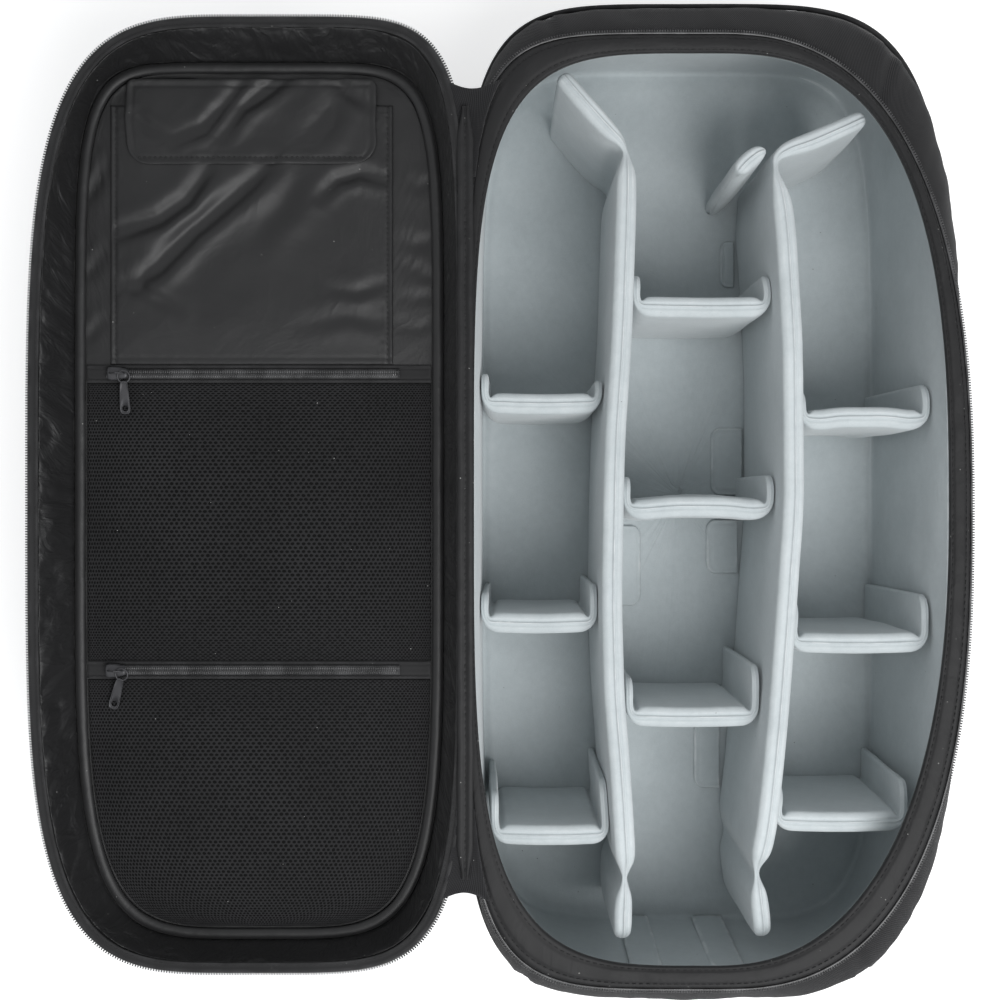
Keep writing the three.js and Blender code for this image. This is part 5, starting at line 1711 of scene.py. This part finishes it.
@dataclass
class Pockets:
    """What is sewn to the lid's panel: the sleeve with its flap, two zips and two mesh pockets."""

    sleeve: tuple[float, float, float, float] = (-229.15, -63.0, 79.7, 232.0)
    flap: tuple[float, float, float, float] = (-219.65, -72.5, 197.0, 247.0)
    chain: tuple[float, float] = (-231.15, -58.8)
    upper_zip: float = 74.15
    lower_zip: float = -99.95
    tape_half: float = 5.25
    coil_pitch: float = 1.3

    def build(self) -> None:
        """Builds and dresses the pockets."""
        self.build_sleeve()
        self.build_flap()
        for label, y, low in (("upper", self.upper_zip, -94.4), ("lower", self.lower_zip, POCKET.bottom)):
            self.build_mesh(label, low, y - self.tape_half - 0.3)
            self.build_tape(label, y)
            self.build_chain(label, y)

    def sleeve_top(self, x: float, y: float) -> float:
        """Height of the sleeve's cloth at a point."""
        left, right, low, high = self.sleeve
        border = min(x - left, right - x, y - low, high - y)
        loose = smooth(border / 26)
        rise = 1.3 + 1.5 * loose + folds_height(SLEEVE_FOLDS, x, y) * smooth(border / 5)
        rise += 0.35 * loose * grain(x / 17, y / 17, 1.0) + 0.5 * loose * grain(x / 55, y / 40, 4.0)
        return LEVELS.pocket_base + max(0.7, rise)

    def build_sleeve(self) -> None:
        """The document sleeve of smooth nylon with its diagonal folds, hems and seams."""
        left, right, low, high = self.sleeve

        def top(x: float, y: float, border: float) -> float:
            """Height of the cloth, pressed at the side seams."""
            level = self.sleeve_top(x, y)
            side = min(x - left, right - x)
            level += 0.35 * bell(side - 1.0, 1.0) - 0.4 * bell(side - 3.2, 0.9)
            level -= 0.35 * bell(y - low - 4.0, 1.0)
            return level + 0.12 * smooth(side / 4) * bell(side, 9) * grain(x / 3, y / 3.2, 8.0) * 2

        bm = bmesh.new()
        add_plate(bm, 130, 120, low, high, lambda y: (left, right), top, LEVELS.pocket_base + 0.1)
        up = Vector((0, 0, 1))
        for x in (left + 3.2, right - 3.2):
            points = [Vector((x, y, self.sleeve_top(x, y) + 0.1)) for y in range(int(low) + 2, int(high), 2)]
            add_stitches(bm, points, [up] * len(points), 2.2, 0.9, 0.2)
        piece = dress(finish_mesh(bm, "document_sleeve", True), Finish.NYLON, "sleeve_panel")

    def build_flap(self) -> None:
        """The sleeve's flap with rounded lower corners, folds and a hook-and-loop seam."""
        left, right, low, high = self.flap
        radius = 14.0

        def edges(y: float) -> tuple[float, float]:
            """Left and right edge at a place in Y."""
            over = radius - (y - low)
            cut = radius - math.sqrt(max(0.0, radius ** 2 - over ** 2)) if over > 0 else 0.0
            over = 5 - (high - y)
            cut += 5 - math.sqrt(max(0.0, 25 - over ** 2)) if over > 0 else 0.0
            sway = 1.2 * grain(y / 18, 0.0, 6.0)
            return left + cut + sway, right - cut + sway * 0.5

        def level(x: float, y: float) -> float:
            """Height of the flap over the sleeve."""
            under = self.sleeve_top(x, min(y, self.sleeve[3] - 0.5))
            rise = 0.8 + folds_height(FLAP_FOLDS, x, y) + 0.6 * grain(x / 30, y / 22, 7.0)
            rise += 0.25 * grain(x / 9, y / 9, 2.0)
            return max(under + 0.7, LEVELS.pocket_base + 2.6 + rise)

        def top(x: float, y: float, border: float) -> float:
            """Height with the pressed seam round the border."""
            return level(x, y) + 0.3 * bell(border - 1.2, 1.0) - 0.35 * bell(border - 4.0, 0.9)

        bm = bmesh.new()
        add_grid_sheet(bm, 120, 50, low, high, edges, top)
        up = Vector((0, 0, 1))
        points = []
        for k in range(90):
            x = mix(left + 7, right - 7, k / 89)
            points.append(Vector((x, low + 4.0, level(x, low + 4.0) - 0.15)))
        add_stitches(bm, points, [up] * len(points), 2.2, 0.9, 0.22)
        piece = finish_mesh(bm, "sleeve_cover", False)
        add_thickness(piece, 0.7, -1.0)
        dress(piece, Finish.NYLON, "sleeve_flap")

    def build_mesh(self, label: str, low: float, high: float) -> None:
        """Builds one mesh pocket.

        Args:
            label: Which pocket.
            low: Its lowest Y.
            high: Its highest Y.
        """
        bottom = label == "lower"

        def edges(y: float) -> tuple[float, float]:
            """Left and right edge at a place in Y, along the panel's outline."""
            return POCKET.side_x(-1, y) + 0.15, POCKET.side_x(1, y) - 0.15

        def top(x: float, y: float, border: float) -> float:
            """Height of the net: taut at its seams, slack between them."""
            loose = smooth(border / 22)
            rise = 0.75 + 0.9 * loose + 0.7 * loose * grain(x / 60, y / 45, 2.0 + bottom)
            rise += 0.3 * loose * grain(x / 17, y / 22, 5.0) + 0.25 * bell(border - 1.5, 1.2)
            return LEVELS.pocket_base + max(0.5, rise)

        bm = bmesh.new()
        add_plate(bm, 110, 96, low + (0.4 if bottom else 0.0), high, edges, top, LEVELS.pocket_base + 0.1)
        piece = dress(finish_mesh(bm, f"net_pocket_{label}", True), Finish.MESH, f"mesh_pocket_{label}")

    def build_tape(self, label: str, y: float) -> None:
        """Builds one zip's tape with its two sewn hems.

        Args:
            label: Which zip.
            y: Its middle in Y.
        """
        low, high = y - self.tape_half, y + self.tape_half

        def edges(at: float) -> tuple[float, float]:
            """Left and right edge at a place in Y."""
            return POCKET.side_x(-1, y) + 0.1, POCKET.side_x(1, y) - 0.1

        def top(x: float, at: float, border: float) -> float:
            """Height: a low fold over each hem and a groove beside the chain."""
            far = abs(at - y)
            rise = 1.25 + 0.45 * bell(far - 4.2, 0.7) - 0.35 * bell(far - 3.1, 0.5)
            return LEVELS.pocket_base + rise + 0.08 * grain(x / 6, at / 3, 3.0)

        bm = bmesh.new()
        add_plate(bm, 120, 22, low, high, edges, top, LEVELS.pocket_base + 0.1, 0.5)
        up = Vector((0, 0, 1))
        left, right = edges(y)
        for side in (-1, 1):
            points = [Vector((mix(left + 3, right - 3, k / 99), y + side * 3.7, LEVELS.pocket_base + 1.5))
                      for k in range(100)]
            add_stitches(bm, points, [up] * 100, 2.2, 0.9, 0.2)
        dress(finish_mesh(bm, f"pocket_tape_{label}", True), Finish.BINDING, f"zip_tape_{label}")

    def build_chain(self, label: str, y: float) -> None:
        """Builds one closed coil chain: two rows of interlocked loops over a sewn core.

        Args:
            label: Which zip.
            y: Its middle in Y.
        """
        start, end = self.chain
        level = LEVELS.tape_top + 0.45
        bm = bmesh.new()
        up = Vector((0, 0, 1))
        count = int((end - start) / self.coil_pitch)
        for k in range(count):
            x = start + (k + 0.5) * self.coil_pitch
            for side in (-1, 1):
                at = Vector((x + side * self.coil_pitch / 4, y + side * 1.25, level + 0.45))
                add_bead(bm, at, Vector((0.12 * side, 1, 0)), up, Vector((1.75, 0.46, 0.62)))
        for side in (-1, 1):
            points = [Vector((mix(start, end, t / 80), y + side * 1.15, level + 1.1)) for t in range(81)]
            add_stitches(bm, points, [up] * 81, 1.0, 0.3, 0.18)
        core = [(-2.7, 0.0), (-2.7, 0.3), (2.7, 0.3), (2.7, 0.0)]

        def place(i: int, j: int) -> Vector:
            """Point of the core's section."""
            return Vector((mix(start, end, i / 40), y + core[j][0], level - 0.1 + core[j][1]))

        add_grid(bm, 40, 4, place, (4.0 * MM, 1.0 * MM), False, True, True)
        dress(finish_mesh(bm, f"coil_chain_{label}", True), Finish.COIL, f"zip_chain_{label}")


def add_grid_sheet(bm: bmesh.types.BMesh, columns: int, rows: int, low: float, high: float,
                   edges: Callable[[float], tuple[float, float]],
                   top: Callable[[float, float, float], float]) -> None:
    """Adds an open sheet of cloth over a shaped surface.

    Args:
        bm: The mesh that takes it.
        columns: Faces across.
        rows: Faces along.
        low: Its lowest Y.
        high: Its highest Y.
        edges: Gives its left and right X at a place in Y.
        top: Gives its height from X, Y and the distance to the nearest edge.
    """
    middle = (low + high) / 2
    half = (high - low) / 2

    def place(i: int, j: int) -> Vector:
        """Point of the sheet."""
        y = mix(low, high, mix(j / rows, smooth(j / rows), 0.6))
        left, right = edges(y)
        x = mix(left, right, mix(i / columns, smooth(i / columns), 0.4))
        border = min(half - abs(y - middle), x - left, right - x)
        return Vector((x, y, top(x, y, border)))

    left, right = edges(middle)
    add_grid(bm, columns, rows, place, ((right - left) / columns * MM, (high - low) / rows * MM))


@dataclass
class Pull:
    """A zip's slider, fixed to the chain, and its pull, hung on the slider's arch."""

    label: str
    centre: Vector
    pivot: Vector
    swing: float
    tilt: float = 0.2039
    length: float = 27.0
    width: float = 6.4
    thick: float = 1.1
    ring: float = 3.6
    wire: float = 0.52
    plate_sides: int = 8

    def build(self) -> None:
        """Builds and dresses the slider and its pull."""
        self.build_slider()
        self.build_pull()

    def build_slider(self) -> None:
        """The slider: a waisted body over the chain, a nose, two side rails and an arch."""
        bm = bmesh.new()
        half = 5.7
        base = LEVELS.tape_top + 0.35
        shape = ((-1.0, 3.1), (-0.86, 3.9), (-0.5, 4.15), (-0.1, 3.75), (0.35, 3.3), (0.75, 3.15), (0.95, 2.6),
                 (1.0, 1.7))
        for low, high, grow in ((0.0, 0.9, 1.0), (2.25, 3.25, 0.96)):

            def place(i: int, j: int) -> Vector:
                """Point of the plate: columns run round its rounded section."""
                along, wide = shape[j]
                turn = i / self.plate_sides * FULL_TURN
                across = math.copysign(abs(math.cos(turn)) ** 0.35, math.cos(turn)) * wide * grow
                rise = math.copysign(abs(math.sin(turn)) ** 0.5, math.sin(turn)) * 0.5
                crown = 0.25 * (1 - (across / 4.2) ** 2) if high > 3 else 0.0
                return Vector((self.centre.x + along * half, self.centre.y + across,
                               base + mix(low, high, rise + 0.5) + crown))

            add_grid(bm, self.plate_sides, len(shape) - 1, place, (1 * MM, 1 * MM), True, False, True)
        up = Vector((0, 0, 1))
        for side in (-1, 1):
            at = Vector((self.centre.x - 0.6, self.centre.y + side * 3.55, base + 1.6))
            add_bead(bm, at, Vector((1, -side * 0.12, 0)), up, Vector((4.6, 0.4, 1.3)), True)
        nose = Vector((self.centre.x + half * 0.55, self.centre.y, base + 1.7))
        add_bead(bm, nose, Vector((1, 0, 0)), up, Vector((1.6, 1.4, 1.5)), True)
        rows = 16
        sides = 8

        def arch(i: int, j: int) -> Vector:
            """Point of the arch that holds the pull's ring."""
            share = j / rows
            turn = math.pi * share
            out = Vector((-math.cos(turn), 0, math.sin(turn)))
            middle = Vector((self.centre.x - 4.4 * math.cos(turn) ** 3 if abs(math.cos(turn)) > 0.5
                             else self.centre.x - 4.4 * math.cos(turn) * 0.25, self.centre.y,
                             base + 2.9 + 4.1 * math.sin(turn) ** 0.7))
            flip = i / sides * FULL_TURN
            return middle + out * 0.5 * math.sin(flip) + Vector((0, 0.45 * math.cos(flip), 0))

        add_grid(bm, sides, rows, arch, (1 * MM, 1 * MM), True, False, True)
        dress(finish_mesh(bm, f"slider_{self.label}", True), Finish.GUNMETAL, f"zip_slider_{self.label}")

    def build_pull(self) -> None:
        """The pull: a wire ring through the arch and a tapered blade with a raised rim and a hole."""
        bm = bmesh.new()
        turned = Matrix.Rotation(self.swing, 3, "Z") @ Matrix.Rotation(self.tilt, 3, "X")

        def put(point: Vector) -> Vector:
            """Moves a point from the pull's own frame, where it hangs along minus Y from its pivot."""
            return self.pivot + turned @ point

        spin = 20
        around = 8

        def wire(i: int, j: int) -> Vector:
            """Point of the ring."""
            turn = i / spin * FULL_TURN
            flip = j / around * FULL_TURN
            out = self.ring + self.wire * math.cos(flip)
            down = 1.5 - self.ring + out * math.cos(turn)
            return put(Vector((out * math.sin(turn), down, self.wire * math.sin(flip))))

        add_grid(bm, spin, around, wire, (1 * MM, 0.5 * MM), True, True)
        start = -4.6
        end = 2.8 - self.length
        hole_at = end + 3.4
        hole = 1.75
        rim = ((0.0, -0.5), (0.0, 0.25), (0.14, 0.5), (0.5, 0.55), (0.75, 0.35), (1.0, 0.18))
        count = 40

        def outline(i: int) -> Vector:
            """Point of the blade's rounded outline."""
            turn = i / count * FULL_TURN
            c, s = math.cos(turn), math.sin(turn)
            middle = (start + end) / 2
            y = middle + math.copysign(abs(s) ** 0.32, s) * (start - end) / 2
            share = (start - y) / (start - end)
            wide = mix(2.35, self.width / 2, smooth(share * 1.6)) * (1 - 0.1 * bell(share - 0.45, 0.2))
            return Vector((math.copysign(abs(c) ** 0.5, c) * wide, y))

        middle = Vector((0.0, hole_at))

        def blade(i: int, j: int) -> Vector:
            """Point of the blade: its side, raised rim, sunk face and the hole's wall, then the same below."""
            flat = outline(i)
            upper = j < 9
            k = j if upper else 17 - j
            turn = i / count * FULL_TURN
            eye = middle + Vector((math.cos(turn), math.sin(turn))) * hole
            if k < len(rim):
                share, rise = rim[k]
                inwards = (middle - flat)
                point = flat + inwards.normalized() * min(share, inwards.length * 0.4)
            else:
                share = (k - len(rim) + 1) / 4
                start_at = flat + (middle - flat).normalized() * 1.0
                lip = eye + (eye - middle).normalized() * 0.55
                point = start_at.lerp(lip, share * 1.35) if k < 8 else eye
                rise = 0.18 if k < 7 else 0.42
                if k == 8:
                    rise = 0.2
            return put(Vector((point.x, point.y, (rise if upper else -rise) * self.thick)))

        add_grid(bm, count, 18, blade, (0.4 * MM, 0.4 * MM), True, True)
        dress(finish_mesh(bm, f"pull_{self.label}", True), Finish.GUNMETAL, f"zip_pull_{self.label}",
              body=f"{self.label}_pull")


@dataclass
class Hinge:
    """The cloth strip over the seam between body and lid."""

    left: float = -24.25
    right: float = -15.25
    base: float = 176.2

    def build(self) -> None:
        """Builds and dresses the strip."""
        low, high = HINGE_BOTTOM, HINGE_TOP

        def edges(y: float) -> tuple[float, float]:
            """Left and right edge, tapered at the ends."""
            narrow = 2.6 * (1 - smooth((high - y) / 20)) + 2.6 * (1 - smooth((y - low) / 20))
            sway = 0.5 * grain(y / 26, 0.0, 3.0)
            return self.left + narrow + sway, self.right - narrow + sway

        def top(x: float, y: float, border: float) -> float:
            """Height: two rounded hems with a stitched groove between, softly puckered."""
            left, right = edges(y)
            share = (x - left) / (right - left)
            hems = 0.3 * bell(share - 0.22, 0.14) + 0.3 * bell(share - 0.78, 0.14)
            rise = 1.0 - 0.55 * bell(share - 0.5, 0.14) + hems
            return self.base + rise + 0.28 * grain(y / 7, share, 5.0) + 0.3 * grain(y / 24, 0.0, 8.0)

        bm = bmesh.new()
        add_plate(bm, 16, 260, low, high, edges, top, self.base, 0.8)
        up = Vector((0, 0, 1))
        points = []
        for k in range(220):
            y = mix(low + 4, high - 4, k / 219)
            left, right = edges(y)
            points.append(Vector(((left + right) / 2, y, self.base + 0.62)))
        add_stitches(bm, points, [up] * len(points))
        dress(finish_mesh(bm, "hinge_tape", True), Finish.RIM, "hinge_strip")
        self.build_web("top", HINGE_TOP - 40, 240.0)
        self.build_web("bottom", HINGE_BOTTOM + 40, -229.0)

    def build_web(self, label: str, start: float, end: float) -> None:
        """Builds the cloth web that closes the gap between lid and mouth past one end of the strip.

        Args:
            label: Which end.
            start: Y where it leaves the strip.
            end: Y of its free edge.
        """
        columns, rows = 30, 26

        def place(i: int, j: int) -> Vector:
            """Point of the web, which sags between lid and mouth."""
            y = mix(start, end, j / rows)
            left = LID.side_x(1, y) - 2.2
            right = MOUTH.side_x(-1, y) + 2.2
            share = i / columns
            free = 5.0 * (j / rows) ** 3 * math.sin(math.pi * share)
            sag = 1.6 * math.sin(math.pi * share) * j / rows
            crease = 0.5 * ridged(share * 2.4, y / 14, 3.0)
            return Vector((mix(left, right, share), y - math.copysign(free, end), 175.5 - sag + crease))

        bm = bmesh.new()
        add_grid(bm, columns, rows, place, (1.0 * MM, 1.0 * MM))
        piece = finish_mesh(bm, f"hinge_web_{label}", False)
        add_thickness(piece, 0.8, -1.0)
        dress(piece, Finish.CORDURA)


@dataclass
class Harness:
    """The side worn on the back, hidden under the bag: back panel, two straps, lumbar pad and webs."""

    panel: tuple[float, float, float, float, float, float] = (-10.25, 257.25, -284.5, 284.5, 12.3, 22.3)
    lumbar: tuple[float, float, float, float, float, float] = (23.5, 223.5, -249.5, -154.5, 0.0, 12.0)
    strap_low: float = -95.0
    strap_high: float = 215.0
    strap_width: float = 66.0
    strap_thick: float = 12.0
    spread: float = 120.0
    middle: float = 123.5
    stops: tuple[tuple[float, float, float], ...] = (
        (0.0, 0.52, 0.5), (0.15, 0.6, 0.8), (0.4, 0.7, 1.0), (0.7, 0.5, 1.0), (0.9, 0.36, 0.95), (1.0, 0.32, 0.85))

    def build(self) -> None:
        """Builds and dresses the harness."""
        for name, node, box, corners, fill in (("back_pad", "back_panel", self.panel, 6.0, 0.9),
                                               ("waist_pad", "lumbar_pad", self.lumbar, 4.0, 0.8)):
            piece = self.build_pad(name, box, corners)
            dress(piece, Finish.HARNESS, node)
        for side, label in ((-1, "left"), (1, "right")):
            piece = self.build_strap(f"shoulder_strap_{label}", side)
            dress(piece, Finish.HARNESS, f"strap_{label}")
            self.build_web(label, side)

    def build_pad(self, name: str, box: Sequence[float], corners: float) -> bpy.types.Object:
        """Builds a flat pad with rounded edges and soft cushions.

        Args:
            name: Name of the piece.
            box: Its left, right, bottom and top edge, its lowest and its highest Z.
            corners: Roundness of its outline.

        Returns:
            The piece.
        """
        left, right, bottom, top, low, high = box
        outline = Outline(left, right, bottom, top, (corners,) * 4)
        angles, length = outline.walk(160)
        tall = high - low
        shares = ((0.97, 0.0), (0.985, 0.06), (1.0, 0.3), (1.0, 0.7), (0.985, 0.94), (0.97, 1.0))
        sections = [Section(outline.shrunk(0.5), low), Section(outline.shrunk(0.8), low)]
        sections += [Section(outline.shrunk(share), low + tall * rise) for share, rise in shares]
        sections += [Section(outline.shrunk(share), high) for share in (0.9, 0.8, 0.6, 0.4, 0.2, 0.04)]
        sections = [Section(outline.shrunk(0.04), low)] + sections

        def relief(i: int, j: int, point: Vector) -> Vector:
            """Shallow dents between the cushions."""
            if j > 2:
                return point
            dent = 0.6 * bell(point.y - outline.cy, 6.0) + 0.6 * bell(abs(point.x - outline.cx) - 60, 5.0)
            return point + Vector((0, 0, dent))

        bm = bmesh.new()
        add_skin(bm, sections, angles, length, relief)
        piece = finish_mesh(bm, name, True)
        add_subdivision(piece)
        return piece

    def build_strap(self, name: str, side: int) -> bpy.types.Object:
        """Builds one curved padded strap.

        Args:
            name: Name of the piece.
            side: Left (-1) or right (1).

        Returns:
            The piece.
        """
        rows = 48
        ring = 20

        def place(i: int, j: int) -> Vector:
            """Point of the strap's rounded section."""
            share = j / rows
            k = 0
            while k < len(self.stops) - 2 and self.stops[k + 1][0] < share:
                k += 1
            near, far = self.stops[k], self.stops[k + 1]
            t = smooth((share - near[0]) / (far[0] - near[0]))
            across = mix(near[1], far[1], t) * self.spread
            wide = mix(near[2], far[2], t) * self.strap_width
            end = min(share, 1 - share) * (self.strap_high - self.strap_low)
            tight = math.sqrt(1 - (1 - min(1.0, (end + 0.6) / 12)) ** 2)
            turn = i / ring * FULL_TURN
            c, s = math.cos(turn), math.sin(turn)
            x = self.middle + side * across + math.copysign(abs(c) ** 0.45, c) * (wide / 2 - 0.8) * mix(0.7, 1, tight)
            z = self.strap_thick / 2 + math.copysign(abs(s) ** 0.5, s) * (self.strap_thick / 2 - 0.2) * tight
            return Vector((x, mix(self.strap_low, self.strap_high, share), z))

        bm = bmesh.new()
        add_grid(bm, ring, rows, place, (8 * MM, 6 * MM), True, False, True)
        piece = finish_mesh(bm, name, True)
        add_subdivision(piece)
        return piece

    def build_web(self, label: str, side: int) -> None:
        """Builds one lower web from the strap's end to the bag's lower corner.

        Args:
            label: Which web.
            side: Left (-1) or right (1); not used.
        """
        source = bpy.data.objects[f"strap_web_{label}"]
        piece = bpy.data.objects.new(f"lower_web_{label}", source.data.copy())
        bpy.context.scene.collection.objects.link(piece)
        dress(piece, Finish.BINDING, f"strap_web_{label}")


@dataclass
class Studio:
    """The photograph's place: a pale floor, a soft bright room, a key light and the camera above."""

    eye: Vector = field(default_factory=lambda: Vector((0.0, 0.0, 0.9664)))
    lens: float = 50.0
    sensor: float = 36.0
    room: float = 0.58
    key_at: Vector = field(default_factory=lambda: Vector((0.42, -0.55, 1.3)))
    key_size: float = 0.9
    key_power: float = 14.0

    def build(self) -> None:
        """Sets up camera, floor and light."""
        scene = bpy.context.scene
        scene.view_settings.view_transform = "Standard"
        camera = bpy.data.cameras.new("camera")
        camera.lens = self.lens
        camera.sensor_width = self.sensor
        camera.dof.use_dof = False
        eye = bpy.data.objects.new("camera", camera)
        eye.location = self.eye
        scene.collection.objects.link(eye)
        scene.camera = eye

        world = bpy.data.worlds.new("room")
        world.use_nodes = True
        world.node_tree.nodes["Background"].inputs["Color"].default_value = (0.97, 0.985, 1.0, 1)
        world.node_tree.nodes["Background"].inputs["Strength"].default_value = self.room
        scene.world = world

        light = bpy.data.lights.new("key", "AREA")
        light.shape = "DISK"
        light.size = self.key_size
        light.energy = self.key_power
        key = bpy.data.objects.new("key", light)
        key.location = self.key_at
        key.rotation_euler = (-self.key_at).to_track_quat("-Z", "Y").to_euler()
        scene.collection.objects.link(key)

        bm = bmesh.new()
        bmesh.ops.create_grid(bm, x_segments=8, y_segments=8, size=3.0)
        floor = finish_mesh(bm, "floor", False)
        material = bpy.data.materials.new("paper")
        material.use_nodes = True
        tree = Tree(material.node_tree)
        output = tree.node("OutputMaterial")
        shader = tree.node("BsdfPrincipled", {"Roughness": 0.9, "Specular IOR Level": 0.1, "Emission Strength": 0.45,
                                              "Emission Color": (1, 1, 1, 1)})
        tree.feed(output.inputs["Surface"], shader.outputs[0])
        where = tree.node("TexCoord").outputs["Object"]
        cloud = tree.node("TexNoise", {"Vector": where, "Scale": 6.0, "Detail": 2.0})
        tone = tree.node("MapRange", {"Value": cloud.outputs[0], "To Min": 0.93, "To Max": 0.95})
        tree.feed(shader.inputs["Base Color"], tone.outputs[0])
        floor.data.materials.append(material)


def main() -> None:
    """Builds the whole backpack and its studio."""
    logging.basicConfig(level=logging.INFO, format="%(name)s %(message)s")
    for build in (build_weave_group, build_fleece_group, build_crumple_group, build_lint_group, build_edge_highlight_group,
                  build_net_group):
        build()
    sliders = (
        Pull("upper", Vector((-224.15, 74.15, 0)), Vector((-219.95, 74.15, 155.4)), 0.0),
        Pull("lower", Vector((-225.15, -99.95, 0)), Vector((-220.5114, -99.95, 155.4)), math.radians(-17)),
    )
    for part in (Body(), Dividers(), Lid(), Pockets(), *sliders, Hinge(), Harness(), Studio()):
        LOG.info("building %s", type(part).__name__)
        part.build()


if __name__ == "__main__":
    main()
